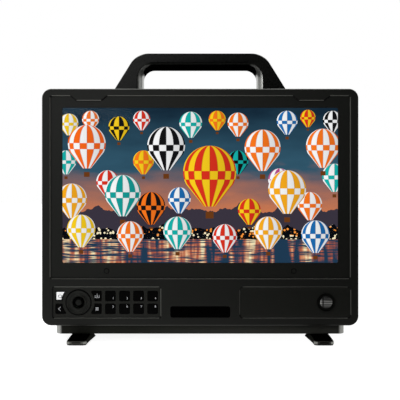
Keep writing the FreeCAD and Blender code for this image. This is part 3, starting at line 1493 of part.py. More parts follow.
def power_socket():
    shell = front_disc(POWER_SHELL_R, power_x, connector_z, connector_board_back, power_mouth)
    outline = rectangle(
        POWER_FLANGE_WIDTH, POWER_FLANGE_HEIGHT, CONNECTOR_CORNER_R, power_x, connector_z
    )
    shell = shell.fuse(front_prism(outline, BODY_DEPTH, power_mouth))
    bore_r = POWER_SHELL_R - POWER_SHELL_WALL
    shell = shell.cut(front_disc(bore_r, power_x, connector_z, power_floor, power_mouth))
    pins = []
    for index in range(POWER_PINS):
        turn = math.radians(45 + 360 * index / POWER_PINS)
        x = power_x + POWER_PIN_CIRCLE_R * math.cos(turn)
        z = connector_z + POWER_PIN_CIRCLE_R * math.sin(turn)
        pins.append(front_disc(POWER_PIN_R, x, z, power_floor, power_mouth - POWER_PIN_DROP))
    return shell.fuse(pins)


phone_mouth = BODY_DEPTH + PHONE_PROUD


def headphone_jack():
    return turned(
        [
            (0, connector_board_back),
            (PHONE_BODY_R, connector_board_back),
            (PHONE_BODY_R, connector_front),
            (PHONE_NECK_R, connector_front),
            (PHONE_NECK_R, phone_mouth),
            (PHONE_BORE_R, phone_mouth),
            (PHONE_BORE_R, phone_mouth - PHONE_BORE_LENGTH),
            (0, phone_mouth - PHONE_BORE_LENGTH),
        ],
        phone_x, connector_z,
    )


# Every node of the assembly, in the order that it goes together

nodes = {
    "front_bezel": front_bezel(),
    "screen_gasket": screen_gasket(),
    "cover_glass": front_prism(module_outline, glass_front, lcd_front),
    "lcd_panel": front_prism(module_outline, lcd_front, backlight_front),
    "backlight_unit": front_prism(module_outline, backlight_front, mid_plate_front),
    "mid_plate": mid_plate(),
    "main_board": main_board(),
    "heat_sink": heat_sink(),
    "guard_magnets": guard_magnets(),
    "badge_plate": badge_plate(),
    "control_panel": control_panel(),
    "key_board": key_board(),
    "key_switches": key_switches(),
    "jog_dial": jog_dial(),
    "dial_guide": dial_guide(),
    "joystick_base": joystick_base(),
    "joystick_yoke": joystick_yoke(),
    "joystick_stick": joystick_stick(),
    "joystick_cap": joystick_cap(),
    "side_panel": side_panel(),
    "volume_knob": volume_knob(),
    "knob_shaft": knob_shaft(),
    "volume_pot": volume_pot(),
    "pot_nut": pot_nut(),
    "rear_housing": rear_housing(),
    "housing_screws": housing_screws(),
    "small_screws": small_screws(),
    "fan_frame": fan_frame(),
    "fan_rotor": fan_rotor(),
    "rear_inserts": rear_inserts(),
    "connector_panel": connector_panel(),
    "connector_board": connector_board(),
    "bnc_jacks": [bnc_jack(x) for x in bnc_xs],
    "bnc_nuts": bnc_nuts(),
    "hdmi_sockets": [hdmi_socket(x) for x in hdmi_xs],
    "power_socket": power_socket(),
    "headphone_jack": headphone_jack(),
    "handle": handle(),
    "handle_screws": handle_screws(),
    "base_plate": base_plate(),
    "base_plate_screws": base_plate_screws(),
    "thread_inserts": thread_inserts(),
    "foot_arm_left": foot_arm(-1),
    "foot_arm_right": foot_arm(1),
    "foot_pad_left": foot_pad(-1),
    "foot_pad_right": foot_pad(1),
    "foot_pivots": foot_pivots(),
    "rear_bumpers": rear_bumpers(),
}
for name in all_keys:
    nodes[name] = key(name)

shapes = {
    name: Part.makeCompound(piece) if isinstance(piece, list) else piece
    for name, piece in nodes.items()
}
boxes = [shape.optimalBoundingBox() for shape in shapes.values()]
origin_depth = (min(box.YMin for box in boxes) + max(box.YMax for box in boxes)) / 2

os.makedirs("parts", exist_ok=True)
for name, shape in shapes.items():
    shape.translate(Vector(0, -origin_depth, 0))
    shape.exportStep(f"parts/{name}.step")
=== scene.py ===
import math

import bmesh
import bpy
from mathutils import Matrix, Vector


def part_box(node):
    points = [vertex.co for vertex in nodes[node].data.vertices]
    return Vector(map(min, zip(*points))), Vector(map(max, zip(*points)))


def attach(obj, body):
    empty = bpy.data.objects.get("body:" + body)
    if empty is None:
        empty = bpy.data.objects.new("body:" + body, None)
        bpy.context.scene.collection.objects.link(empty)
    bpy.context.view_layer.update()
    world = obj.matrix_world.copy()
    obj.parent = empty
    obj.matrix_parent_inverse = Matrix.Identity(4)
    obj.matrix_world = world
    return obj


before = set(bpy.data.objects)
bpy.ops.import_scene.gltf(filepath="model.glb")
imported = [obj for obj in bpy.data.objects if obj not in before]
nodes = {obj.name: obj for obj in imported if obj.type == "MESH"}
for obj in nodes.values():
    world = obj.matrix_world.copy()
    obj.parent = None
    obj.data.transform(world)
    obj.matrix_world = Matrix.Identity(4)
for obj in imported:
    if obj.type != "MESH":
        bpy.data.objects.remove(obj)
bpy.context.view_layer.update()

MM = 0.001


# Node helpers

def linear(code):
    """Linear colour from an sRGB hex code."""
    values = [int(code[i:i + 2], 16) / 255 for i in (0, 2, 4)]
    return tuple(v / 12.92 if v <= 0.04045 else ((v + 0.055) / 1.055) ** 2.4 for v in values) + (1.0,)


def grey(level):
    """Linear grey of one level."""
    return (level, level, level, 1)


def feed(tree, value, socket):
    """Set a socket to a value, or link another socket to it."""
    if isinstance(value, bpy.types.NodeSocket):
        tree.links.new(value, socket)
    else:
        socket.default_value = value


def calc(tree, operation, *values):
    """Result of one math node."""
    node = tree.nodes.new("ShaderNodeMath")
    node.operation = operation
    for value, socket in zip(values, node.inputs):
        feed(tree, value, socket)
    return node.outputs[0]


def product(tree, result, *factors):
    for factor in factors:
        result = calc(tree, "MULTIPLY", result, factor)
    return result


def inverse(tree, value):
    return calc(tree, "SUBTRACT", 1.0, value)


def magnitude(tree, value):
    return calc(tree, "ABSOLUTE", value)


def mix(tree, factor, first, second):
    """The first colour where the factor is zero, the second where it is one."""
    node = tree.nodes.new("ShaderNodeMix")
    node.data_type = "RGBA"
    feed(tree, factor, node.inputs[0])
    feed(tree, first, node.inputs[6])
    feed(tree, second, node.inputs[7])
    return node.outputs[2]


def remap(tree, value, low, high, to_low, to_high):
    node = tree.nodes.new("ShaderNodeMapRange")
    for number, item in enumerate((value, low, high, to_low, to_high)):
        feed(tree, item, node.inputs[number])
    return node.outputs[0]


def rising(tree, value, start, end):
    """From zero at start to one at end."""
    return remap(tree, value, start, end, 0.0, 1.0)


def falling(tree, value, start, end):
    """From one at start to zero at end."""
    return remap(tree, value, start, end, 1.0, 0.0)


def places(tree, stretch=(1, 1, 1)):
    """Object coordinates, stretched."""
    source = tree.nodes.new("ShaderNodeTexCoord")
    mapping = tree.nodes.new("ShaderNodeMapping")
    mapping.inputs["Scale"].default_value = stretch
    tree.links.new(source.outputs["Object"], mapping.inputs["Vector"])
    return mapping.outputs[0]


def parted(tree, vector):
    """X, Y and Z of a vector."""
    split = tree.nodes.new("ShaderNodeSeparateXYZ")
    tree.links.new(vector, split.inputs[0])
    return split.outputs["X"], split.outputs["Y"], split.outputs["Z"]


def axes(tree):
    """X, Y and Z of a place on the object, in metres."""
    return parted(tree, places(tree))


def noise(tree, vector, scale, detail=2.0):
    node = tree.nodes.new("ShaderNodeTexNoise")
    feed(tree, vector, node.inputs["Vector"])
    node.inputs["Scale"].default_value = scale
    node.inputs["Detail"].default_value = detail
    return node.outputs["Fac"]


# Where a place lies and which way its surface leans

def corners(node):
    """Lower and upper corner of a node's box."""
    low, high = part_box(node)
    return Vector(low), Vector(high)


def facing(tree, axis):
    """Share of the surface's outward direction along one axis."""
    shape = tree.nodes.new("ShaderNodeNewGeometry")
    return parted(tree, shape.outputs["True Normal"])["XYZ".index(axis)]


def facing_front(tree, low, high):
    """One where the surface faces the front by a share between the two limits, else zero."""
    front = calc(tree, "MULTIPLY", facing(tree, "Y"), -1.0)
    return product(tree, calc(tree, "GREATER_THAN", front, low), calc(tree, "LESS_THAN", front, high))


def sideways(tree, low, high):
    """Rises from zero to one as the surface turns to the left or right."""
    return rising(tree, magnitude(tree, facing(tree, "X")), low, high)


def within(tree, node, left, right, bottom, top):
    """One inside a part of the node's box, given in millimetres from its left and lower sides."""
    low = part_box(node)[0]
    x, _, z = axes(tree)
    result = 1.0
    for value, start, near, far in ((x, low[0], left, right), (z, low[2], bottom, top)):
        over = calc(tree, "GREATER_THAN", value, start + near * MM)
        under = calc(tree, "LESS_THAN", value, start + far * MM)
        result = product(tree, result, product(tree, over, under))
    return result


def offsets(tree, node):
    """How far a place lies to the right of the middle of the node's box, and above it, in metres."""
    low, high = corners(node)
    middle = (low + high) / 2
    x, _, z = axes(tree)
    return calc(tree, "SUBTRACT", x, middle.x), calc(tree, "SUBTRACT", z, middle.z)


def in_mm(tree, value):
    return calc(tree, "MULTIPLY", value, 1 / MM)


def length(tree, x, z):
    squares = calc(tree, "ADD", product(tree, x, x), product(tree, z, z))
    return calc(tree, "SQRT", squares)


def reach_from(tree, node):
    """Distance in millimetres from the front-to-back axis through the middle of the node's box."""
    return in_mm(tree, length(tree, *offsets(tree, node)))


# Kinds of surface

TONE_SPAN = (0.3, 0.7)
GLOSS_CHANGE = 0.04
GRAIN_DEPTH = 0.0001
LIT_ROUGHNESS = 0.4


def blank(name):
    """A new material, its node tree and its shader."""
    material = bpy.data.materials.new(name)
    material.use_nodes = True
    tree = material.node_tree
    return material, tree, tree.nodes["Principled BSDF"]


def parts_of(material):
    """Node tree and shader of a material."""
    tree = material.node_tree
    return tree, tree.nodes["Principled BSDF"]


def finish_of(name, colour, roughness, spread, scale, grain=0.0, metallic=0.0, specular=0.5,
              stretch=(1, 1, 1)):
    """A coated, moulded or metal surface with fine uneven tone, gloss and grain."""
    material, tree, shader = blank(name)
    tone = noise(tree, places(tree, stretch), scale)
    base = linear(colour)[:3]
    dark = tuple(v * (1 - spread) for v in base) + (1.0,)
    light = tuple(v * (1 + spread) for v in base) + (1.0,)
    feed(tree, mix(tree, tone, dark, light), shader.inputs["Base Color"])
    gloss = remap(tree, tone, *TONE_SPAN, roughness - GLOSS_CHANGE, roughness + GLOSS_CHANGE)
    feed(tree, gloss, shader.inputs["Roughness"])
    shader.inputs["Metallic"].default_value = metallic
    shader.inputs["Specular IOR Level"].default_value = specular
    if grain:
        bump = tree.nodes.new("ShaderNodeBump")
        bump.inputs["Strength"].default_value = grain
        bump.inputs["Distance"].default_value = GRAIN_DEPTH
        tree.links.new(tone, bump.inputs["Height"])
        tree.links.new(bump.outputs[0], shader.inputs["Normal"])
    return material


def glow_of(name, colour, strength, spread, scale):
    """A lit surface with slightly uneven light."""
    material = finish_of(name, colour, LIT_ROUGHNESS, spread, scale)
    tree, shader = parts_of(material)
    feed(tree, shader.inputs["Base Color"].links[0].from_socket, shader.inputs["Emission Color"])
    shader.inputs["Emission Strength"].default_value = strength
    return material


def retone(material, factor, colour):
    """Change the material's colour where the factor is one."""
    tree, shader = parts_of(material)
    socket = shader.inputs["Base Color"]
    feed(tree, mix(tree, factor, socket.links[0].from_socket, linear(colour)), socket)


def bare(material, factor, colour):
    """Paint a highlight where the factor is one, as polished metal that mirrors the light round it."""
    retone(material, factor, colour)
    tree, shader = parts_of(material)
    feed(tree, factor, shader.inputs["Metallic"])


# Picture on the screen: balloons over a lake at dusk

# Form of a balloon, in shares of its radius from its middle
CROWN_END = -0.45
MOUTH = -1.30
CONE_SLOPE = 0.80
CONE_WIDTH = 1.253
LEAST_WIDTH = 0.02
BAND_DROP = 0.12
BAND_HALF = 0.16
BASKET_DROP = 1.62
BASKET_HALF_WIDTH = 0.15
BASKET_HALF_HEIGHT = 0.13
# Shading of a balloon
SEAM_SHARE = 0.08
SEAM_SHADE = -0.35
SIDE_SHADE = -0.22
MIDDLE_LIGHT = 0.86


def balloon_group():
    """Node group that paints one striped balloon over what is below it."""
    tree = bpy.data.node_groups.new("balloon", "ShaderNodeTree")
    face = tree.interface
    for socket in ("Across", "Up", "Middle across", "Middle up", "Radius", "Gores"):
        face.new_socket(socket, in_out="INPUT", socket_type="NodeSocketFloat")
    for socket in ("First", "Second", "Below"):
        face.new_socket(socket, in_out="INPUT", socket_type="NodeSocketColor")
    face.new_socket("Picture", in_out="OUTPUT", socket_type="NodeSocketColor")
    given = tree.nodes.new("NodeGroupInput").outputs
    result = tree.nodes.new("NodeGroupOutput")
    u, v = (
        calc(tree, "DIVIDE", calc(tree, "SUBTRACT", given[place], given[middle]), given["Radius"])
        for place, middle in (("Across", "Middle across"), ("Up", "Middle up"))
    )
    aside = magnitude(tree, u)

    upper = calc(tree, "GREATER_THAN", v, CROWN_END)
    crown = calc(tree, "SQRT", calc(tree, "MAXIMUM", inverse(tree, product(tree, v, v)), 0.0))
    cone = calc(tree, "MULTIPLY_ADD", v, CONE_SLOPE, CONE_WIDTH)
    cone = product(tree, cone, inverse(tree, upper), calc(tree, "GREATER_THAN", v, MOUTH))
    width = calc(tree, "ADD", product(tree, crown, upper), cone)
    inside = calc(tree, "LESS_THAN", aside, width)

    turn = calc(tree, "ARCSINE", calc(tree, "DIVIDE", u, calc(tree, "MAXIMUM", width, LEAST_WIDTH)))
    gore = product(tree, calc(tree, "MULTIPLY_ADD", turn, 1 / math.pi, 0.5), given["Gores"])
    odd = calc(tree, "GREATER_THAN", calc(tree, "MODULO", gore, 2.0), 1.0)
    band = calc(tree, "LESS_THAN", magnitude(tree, calc(tree, "ADD", v, BAND_DROP)), BAND_HALF)
    odd = magnitude(tree, calc(tree, "SUBTRACT", odd, band))
    cloth = mix(tree, odd, given["First"], given["Second"])

    seam = calc(tree, "LESS_THAN", calc(tree, "FRACT", gore), SEAM_SHARE)
    shade = calc(tree, "MULTIPLY_ADD", u, SIDE_SHADE, MIDDLE_LIGHT)
    shade = product(tree, shade, calc(tree, "MULTIPLY_ADD", seam, SEAM_SHADE, 1.0))
    shaded = mix(tree, inverse(tree, shade), cloth, linear("0a0d18"))
    picture = mix(tree, inside, given["Below"], shaded)

    below = magnitude(tree, calc(tree, "ADD", v, BASKET_DROP))
    basket = product(
        tree,
        calc(tree, "LESS_THAN", aside, BASKET_HALF_WIDTH),
        calc(tree, "LESS_THAN", below, BASKET_HALF_HEIGHT),
    )
    picture = mix(tree, basket, picture, linear("6b3a17"))
    tree.links.new(picture, result.inputs["Picture"])
    return tree


WHITE = "ffffff"
BLACK = "141414"
YELLOW = "ffd21e"
AMBER = "ffb01e"
ORANGE = "ff7a1e"
FLAME = "ff6a1a"
RED = "e2331f"
PINK = "c24b8f"
BLUE = "1f6fb5"
TEAL = "16b5ad"
SEA_GREEN = "16a39c"

# Place to the right of the picture's middle and above it, radius (mm), gores and two colours
BALLOONS = (
    (-139, 66, 10, 6, YELLOW, WHITE),
    (-116, 70, 9, 6, ORANGE, WHITE),
    (-86, 62, 11, 6, YELLOW, BLACK),
    (-62, 70, 9, 6, WHITE, RED),
    (-10, 66, 12, 6, TEAL, WHITE),
    (18, 70, 9, 6, ORANGE, YELLOW),
    (40, 66, 11, 6, WHITE, ORANGE),
    (92, 68, 11, 6, WHITE, BLUE),
    (114, 72, 8, 6, RED, YELLOW),
    (140, 69, 10, 6, WHITE, BLACK),
    (-142, 26, 11, 6, TEAL, WHITE),
    (-98, 4, 12, 6, WHITE, RED),
    (-60, 26, 11, 6, YELLOW, ORANGE),
    (-22, -14, 12, 6, WHITE, BLUE),
    (40, 26, 11, 6, TEAL, BLACK),
    (52, -26, 12, 6, YELLOW, RED),
    (84, 6, 12, 6, PINK, WHITE),
    (116, -20, 13, 6, ORANGE, WHITE),
    (142, 10, 13, 6, WHITE, TEAL),
    (-136, -14, 16, 8, AMBER, WHITE),
    (-52, -22, 15, 8, ORANGE, BLACK),
    (-36, 42, 20, 8, WHITE, BLACK),
    (66, 40, 19, 8, ORANGE, WHITE),
    (130, 42, 18, 8, WHITE, ORANGE),
    (-120, 44, 20, 8, FLAME, WHITE),
    (-82, -8, 19, 8, WHITE, SEA_GREEN),
    (92, -4, 20, 8, WHITE, AMBER),
    (10, 14, 28, 10, YELLOW, RED),
)
NEAR_BALLOONS = (
    (-126, -46, 15, 8, YELLOW, WHITE),
    (-74, -52, 14, 8, WHITE, ORANGE),
    (-24, -48, 15, 8, TEAL, WHITE),
    (26, -54, 13, 8, WHITE, RED),
    (72, -48, 15, 8, AMBER, WHITE),
    (122, -52, 15, 8, WHITE, BLUE),
)

# Heights above the picture's middle, and sizes, in millimetres
GLOW_HEIGHTS = (-34, 20)
NIGHT_HEIGHTS = (20, 84)
HAZE_SWAY = 46.0
FAR_RIDGE_SWAY = 46.0
FAR_RIDGE_FOOT = -56.0
FAR_RIDGE_LIFT = 8.0
NEAR_RIDGE_SWAY = 26.0
NEAR_RIDGE_FOOT = -58.0
LAKE_TOP = -57.0
UNLIT_EDGE = 2.5
# Scales of the noise, and the parts of it that make hills, lights and glints
FAR_RIDGE_SCALE = 34.0
NEAR_RIDGE_SCALE = 61.0
TOWN_SCALE = 290.0
TOWN_LIGHT_SIZE = 0.36
WARM_SHARE = 0.5
RIPPLE_SPAN = (0.44, 0.58)
STREAK_SPAN = (0.40, 0.62)
GOLD_SPAN = (0.5, 0.66)


def sky_colour(tree, up, haze):
    height = calc(tree, "ADD", up, calc(tree, "MULTIPLY_ADD", haze, HAZE_SWAY, -HAZE_SWAY / 2))
    sky = mix(tree, rising(tree, height, *GLOW_HEIGHTS), linear("cf7a50"), linear("31566a"))
    return mix(tree, rising(tree, height, *NIGHT_HEIGHTS), sky, linear("142838"))


def ridge_height(tree, scale, sway, foot):
    """Height of a line of hills that changes only from left to right."""
    ridge = noise(tree, places(tree, stretch=(1, 0, 0)), scale, detail=4.0)
    return calc(tree, "MULTIPLY_ADD", ridge, sway, foot)


def town_colour(tree, haze):
    """Dark hill with many small lights."""
    cells = tree.nodes.new("ShaderNodeTexVoronoi")
    tree.links.new(places(tree), cells.inputs["Vector"])
    cells.inputs["Scale"].default_value = TOWN_SCALE
    light = calc(tree, "LESS_THAN", cells.outputs["Distance"], TOWN_LIGHT_SIZE)
    tone = mix(tree, calc(tree, "GREATER_THAN", haze, WARM_SHARE), linear("ff9a3c"), linear("fff1c9"))
    return mix(tree, light, linear("070a10"), tone)


def lake_colour(tree):
    """Water with the lights mirrored in its ripples."""
    ripple = noise(tree, places(tree, stretch=(0.35, 1, 6)), scale=130.0, detail=3.0)
    streak = noise(tree, places(tree, stretch=(1, 1, 0.12)), scale=120.0, detail=2.0)
    glint = product(tree, rising(tree, ripple, *RIPPLE_SPAN), rising(tree, streak, *STREAK_SPAN))
    gold = mix(tree, rising(tree, streak, *GOLD_SPAN), linear("ff7a2a"), linear("fff0c0"))
    return mix(tree, glint, linear("1f3a52"), gold)


def picture_material():
    """The lit screen, dark along its edge."""
    material, tree, shader = blank("screen_picture")
    across, up = (in_mm(tree, value) for value in offsets(tree, "lcd_panel"))
    group = balloon_group()

    def painted(balloons, picture):
        for x, z, radius, gores, first, second in balloons:
            paint = tree.nodes.new("ShaderNodeGroup")
            paint.node_tree = group
            settings = {
                "Across": across, "Up": up, "Middle across": x, "Middle up": z, "Radius": radius,
                "Gores": gores, "First": linear(first), "Second": linear(second), "Below": picture,
            }
            for socket, value in settings.items():
                feed(tree, value, paint.inputs[socket])
            picture = paint.outputs["Picture"]
        return picture

    haze = noise(tree, places(tree, stretch=(0.5, 1, 1.6)), scale=40.0, detail=5.0)
    far_crest = ridge_height(tree, FAR_RIDGE_SCALE, FAR_RIDGE_SWAY, FAR_RIDGE_FOOT)
    far_hill = calc(tree, "LESS_THAN", up, calc(tree, "ADD", far_crest, FAR_RIDGE_LIFT))
    picture = painted(BALLOONS, mix(tree, far_hill, sky_colour(tree, up, haze), linear("3a3440")))
    near_crest = ridge_height(tree, NEAR_RIDGE_SCALE, NEAR_RIDGE_SWAY, NEAR_RIDGE_FOOT)
    near_hill = calc(tree, "LESS_THAN", up, near_crest)
    picture = mix(tree, near_hill, picture, town_colour(tree, haze))
    lake = calc(tree, "LESS_THAN", up, LAKE_TOP)
    picture = painted(NEAR_BALLOONS, mix(tree, lake, picture, lake_colour(tree)))

    low, high = corners("lcd_panel")
    half_width = (high.x - low.x) / 2 / MM - UNLIT_EDGE
    half_height = (high.z - low.z) / 2 / MM - UNLIT_EDGE
    lit = product(
        tree,
        calc(tree, "LESS_THAN", magnitude(tree, across), half_width),
        calc(tree, "LESS_THAN", magnitude(tree, up), half_height),
    )
    unlit = linear("060708")
    feed(tree, mix(tree, lit, unlit, picture), shader.inputs["Emission Color"])
    feed(tree, mix(tree, lit, unlit, linear("0c0d0f")), shader.inputs["Base Color"])
    shader.inputs["Emission Strength"].default_value = 1.0
    shader.inputs["Roughness"].default_value = 0.5
    shader.inputs["Specular IOR Level"].default_value = 0.0
    return material


MIRRORED_SHARE = 0.012
GLASS_ROUGHNESS = (0.06, 0.10)


def glass_material():
    """Clear coated glass: almost all of the light passes, and a little is mirrored."""
    material, tree, shader = blank("screen_glass")
    tree.nodes.remove(shader)
    smear = noise(tree, places(tree), scale=60.0)
    clear = tree.nodes.new("ShaderNodeBsdfTransparent")
    feed(tree, mix(tree, smear, (0.97, 0.975, 0.98, 1), (0.985, 0.99, 0.99, 1)), clear.inputs["Color"])
    mirror = tree.nodes.new("ShaderNodeBsdfGlossy")
    feed(tree, remap(tree, smear, 0, 1, *GLASS_ROUGHNESS), mirror.inputs["Roughness"])
    both = tree.nodes.new("ShaderNodeMixShader")
    both.inputs[0].default_value = MIRRORED_SHARE
    tree.links.new(clear.outputs[0], both.inputs[1])
    tree.links.new(mirror.outputs[0], both.inputs[2])
    tree.links.new(both.outputs[0], tree.nodes["Material Output"].inputs["Surface"])
    return material


# Coated metal of the body

COAT = dict(colour="222320", roughness=0.46, spread=0.10, scale=1600.0, grain=0.12, specular=0.20)
# Colour of painted highlights made as polished metal
HIGHLIGHT_METAL = "b4b5b1"

# Bezel, in millimetres. A lean, here and below, is a share of the surface's direction
BEZEL_EDGE = 3
RIM_LEAN = (0.5, 0.9)
SLANT_SPAN = (0.03, 0.10)
# Widths of the painted shade outside and inside the rim left of the keys
SHADED_RIM_OUTSIDE = 3
SHADED_RIM_INSIDE = 1
UNDER_EDGE_INSET = 8
UNDER_EDGE_HEIGHT = 2
UNDER_EDGE_LEAN = (0.10, 0.80)
TOP_EDGE_HEIGHT = 2
TOP_EDGE_OVER = 1
TOP_EDGE_LEAN = (0.05, 0.90)
GROOVE_DEPTH = 1.75


def bezel_material():
    """Frame with painted highlights on the rims round its recesses and painted shade at their corners,
    painted shade in its grooves, and painted highlights on its lower and upper edges.
    """
    material = finish_of("bezel_coat", **COAT)
    tree = material.node_tree
    low, high = corners("front_bezel")
    width, _, height = (high - low) / MM
    inner = within(tree, "front_bezel", BEZEL_EDGE, width - BEZEL_EDGE, BEZEL_EDGE, height - BEZEL_EDGE)
    rims = product(tree, facing_front(tree, *RIM_LEAN), inner)
    slant = magnitude(tree, product(tree, facing(tree, "X"), facing(tree, "Z")))
    # Painted shade on the rims round the recesses, then a painted highlight along them away from their
    # corners
    retone(material, rims, "0c0d0b")
    retone(material, product(tree, rims, falling(tree, slant, *SLANT_SPAN)), "60615c")

    keys_low, keys_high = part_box("control_panel")
    keys_left = (keys_low[0] - low.x) / MM
    keys_bottom = (keys_low[2] - low.z) / MM
    keys_top = (keys_high[2] - low.z) / MM
    # Painted shade on the rim at the left of the control panel
    shaded_left_rim = within(tree, "front_bezel", keys_left - SHADED_RIM_OUTSIDE, keys_left + SHADED_RIM_INSIDE,
                      keys_bottom, keys_top)
    retone(material, product(tree, rims, shaded_left_rim), "0a0b09")

    # Painted highlight on the lower edge, which mirrors the floor
    under_edge_highlight = within(tree, "front_bezel", UNDER_EDGE_INSET, width - UNDER_EDGE_INSET, 0, UNDER_EDGE_HEIGHT)
    retone(material, product(tree, under_edge_highlight, facing_front(tree, *UNDER_EDGE_LEAN)), "464743")
    # Painted highlight on the upper edge, made as polished metal
    top_edge_highlight = within(tree, "front_bezel", 0, width, height - TOP_EDGE_HEIGHT, height + TOP_EDGE_OVER)
    bare(material, product(tree, top_edge_highlight, facing_front(tree, *TOP_EDGE_LEAN)), "8a8b87")

    _, y, _ = axes(tree)
    # Painted shade on faces deeper than the groove depth behind the front
    groove_shade = calc(tree, "GREATER_THAN", y, low.y + GROOVE_DEPTH * MM)
    retone(material, product(tree, groove_shade, inner), "030303")
    return material


# Handle, with places in metres from its middle
HANDLE_GLOSS = 0.20
HOLLOW_HALF = 69.5 * MM
GRIP_FADE = (48 * MM, 64 * MM)
# Drop of each painted line below the handle's top and half its width, in millimetres, and its colour: a line
# of painted shade, then a painted highlight
GRIP_SHADE_AND_HIGHLIGHT = ((8.7, 2.6, "040504"), (11.6, 0.9, "282926"))
# The first of these parts of a line's half width has the full tone
LINE_PARTS = 3
BENEATH_LEAN = (-0.28, -0.48)
LEG_LEAN = (0.08, 0.22)


def handle_material():
    """Handle with a line of painted shade and a painted highlight along its grip, painted shade on its
    underside, and painted highlights, made as polished metal, inside its legs.
    """
    material = finish_of("handle_coat", "11120f", roughness=0.30, spread=0.10, scale=1200.0, grain=0.10,
                         specular=HANDLE_GLOSS)
    tree, shader = parts_of(material)
    x, _, z = axes(tree)
    aside = magnitude(tree, x)
    grip = falling(tree, aside, *GRIP_FADE)
    handle_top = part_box("handle")[1][2]
    # Painted shade and highlight lines along the grip
    for drop, half, colour in GRIP_SHADE_AND_HIGHLIGHT:
        gap = magnitude(tree, calc(tree, "ADD", z, drop * MM - handle_top))
        painted_band = falling(tree, gap, half * MM / LINE_PARTS, half * MM)
        retone(material, product(tree, painted_band, grip), colour)

    shaded_underside = rising(tree, facing(tree, "Z"), *BENEATH_LEAN)
    unshaded = inverse(tree, shaded_underside)
    # Painted shade, black, on the underside
    retone(material, shaded_underside, "020202")
    hollow = calc(tree, "LESS_THAN", aside, HOLLOW_HALF)
    # Painted highlights inside the legs, made as polished metal
    bare(material, product(tree, hollow, sideways(tree, *LEG_LEAN), unshaded), HIGHLIGHT_METAL)
    feed(tree, product(tree, unshaded, HANDLE_GLOSS), shader.inputs["Specular IOR Level"])
    return material


# Base plate, with places in metres from its middle
BASE_LIGHT_SPAN = (-0.07, 0.16)
BASE_END_LEAN = (0.12, 0.40)


def base_material():
    """Base plate with painted light that grows toward the right, and painted highlights, made as polished
    metal, on its rounded ends.
    """
    material = finish_of("base_coat", "23241f", roughness=0.30, spread=0.12, scale=1200.0, grain=0.10,
                         specular=0.07)
    tree = material.node_tree
    x, _, _ = axes(tree)
    # Painted light, brighter toward the right
    retone(material, rising(tree, x, *BASE_LIGHT_SPAN), "52534e")
    # Painted highlights on the rounded ends, dimmer at the right end
    ends = sideways(tree, *BASE_END_LEAN)
    bare(material, ends, "bdbeba")
    right_end_highlight = product(tree, ends, calc(tree, "GREATER_THAN", x, 0.0))
    retone(material, right_end_highlight, "a0a19d")
    return material


# Foot, with sizes in metres
NOSE_LENGTH = 4.6 * MM
NOSE_FLAT_LEAN = (0.985, 1.1)
NOSE_CORNER_LEAN = (0.15, 0.985)
UPWARD_LEAN = (0.30, 0.60)
INWARD_LEAN = (-0.15, -0.40)
CORE_RISE = 1.4 * MM
CORE_WIDTH_FADE = (4.0 * MM, 5.2 * MM)
CORE_HEIGHT_FADE = (0.5 * MM, 0.9 * MM)


def foot_material():
    """Foot with painted shade on its top and painted light on its inner side, and on its nose a painted
    highlight round a painted dark reflection and painted highlights, made as polished metal, on its corners.
    """
    material = finish_of("foot_coat", "1c1d1a", roughness=0.30, spread=0.12, scale=1200.0, grain=0.10,
                         specular=0.0)
    tree = material.node_tree
    x, y, z = axes(tree)
    low, high = corners("foot_arm_left")
    upward = rising(tree, facing(tree, "Z"), *UPWARD_LEAN)
    # Painted shade, near black, on faces that turn up under the base plate
    retone(material, upward, "050505")
    outward = product(tree, facing(tree, "X"), calc(tree, "SIGN", x))
    # Painted light on the inner side
    retone(material, rising(tree, outward, *INWARD_LEAN), "2e2f2b")

    nose = calc(tree, "LESS_THAN", y, low.y + NOSE_LENGTH)
    flat = product(tree, nose, facing_front(tree, *NOSE_FLAT_LEAN))
    aside = calc(tree, "SUBTRACT", magnitude(tree, x), abs(low.x + high.x) / 2)
    above = calc(tree, "SUBTRACT", z, low.z + CORE_RISE)
    core_reflection = product(
        tree,
        falling(tree, magnitude(tree, aside), *CORE_WIDTH_FADE),
        falling(tree, magnitude(tree, above), *CORE_HEIGHT_FADE),
    )
    # Painted highlight on the flat front of the nose, with a painted dark reflection in its middle
    retone(material, flat, "60615d")
    retone(material, product(tree, flat, core_reflection), "1c1d1a")
    corner = product(tree, nose, facing_front(tree, *NOSE_CORNER_LEAN))
    # Painted highlights, made as polished metal, on the nose's rounded corners, dimmer where they turn up
    bare(material, product(tree, corner, inverse(tree, upward)), "94958f")
    retone(material, product(tree, corner, upward), "3c3d39")
    return material


# Panels, keys, dial, stick, magnets and knob

PANEL = dict(colour="262723", roughness=0.46, spread=0.12, scale=1500.0, grain=0.15, specular=0.20)
PANEL_FRONT_LEAN = (0.6, 1.1)
# Number and strength of the painted reflection lobes on the dial
REFLECTION_LOBES = 4.0
REFLECTION_LOBE_SHARE = 0.45
# Radii and a width, in millimetres
KNOB_SHADE = (9.0, 12.5)
DIAL_FACE_R = 12.55
STICK_NUB_R = 3.2
MAGNET_RING = 1.1


def control_material():
    """Control panel with painted shade, black, on all but its front."""
    material = finish_of("panel_black", **PANEL)
    tree = material.node_tree
    # Painted shade on the hole walls and all other faces but the front
    retone(material, inverse(tree, facing_front(tree, *PANEL_FRONT_LEAN)), "020202")
    return material


def side_material():
    """Side panel with painted shade round the knob."""
    material = finish_of("side_black", **PANEL)
    tree = material.node_tree
    # Painted shade, darkest next to the knob
    retone(material, falling(tree, reach_from(tree, "volume_knob"), *KNOB_SHADE), "161714")
    return material


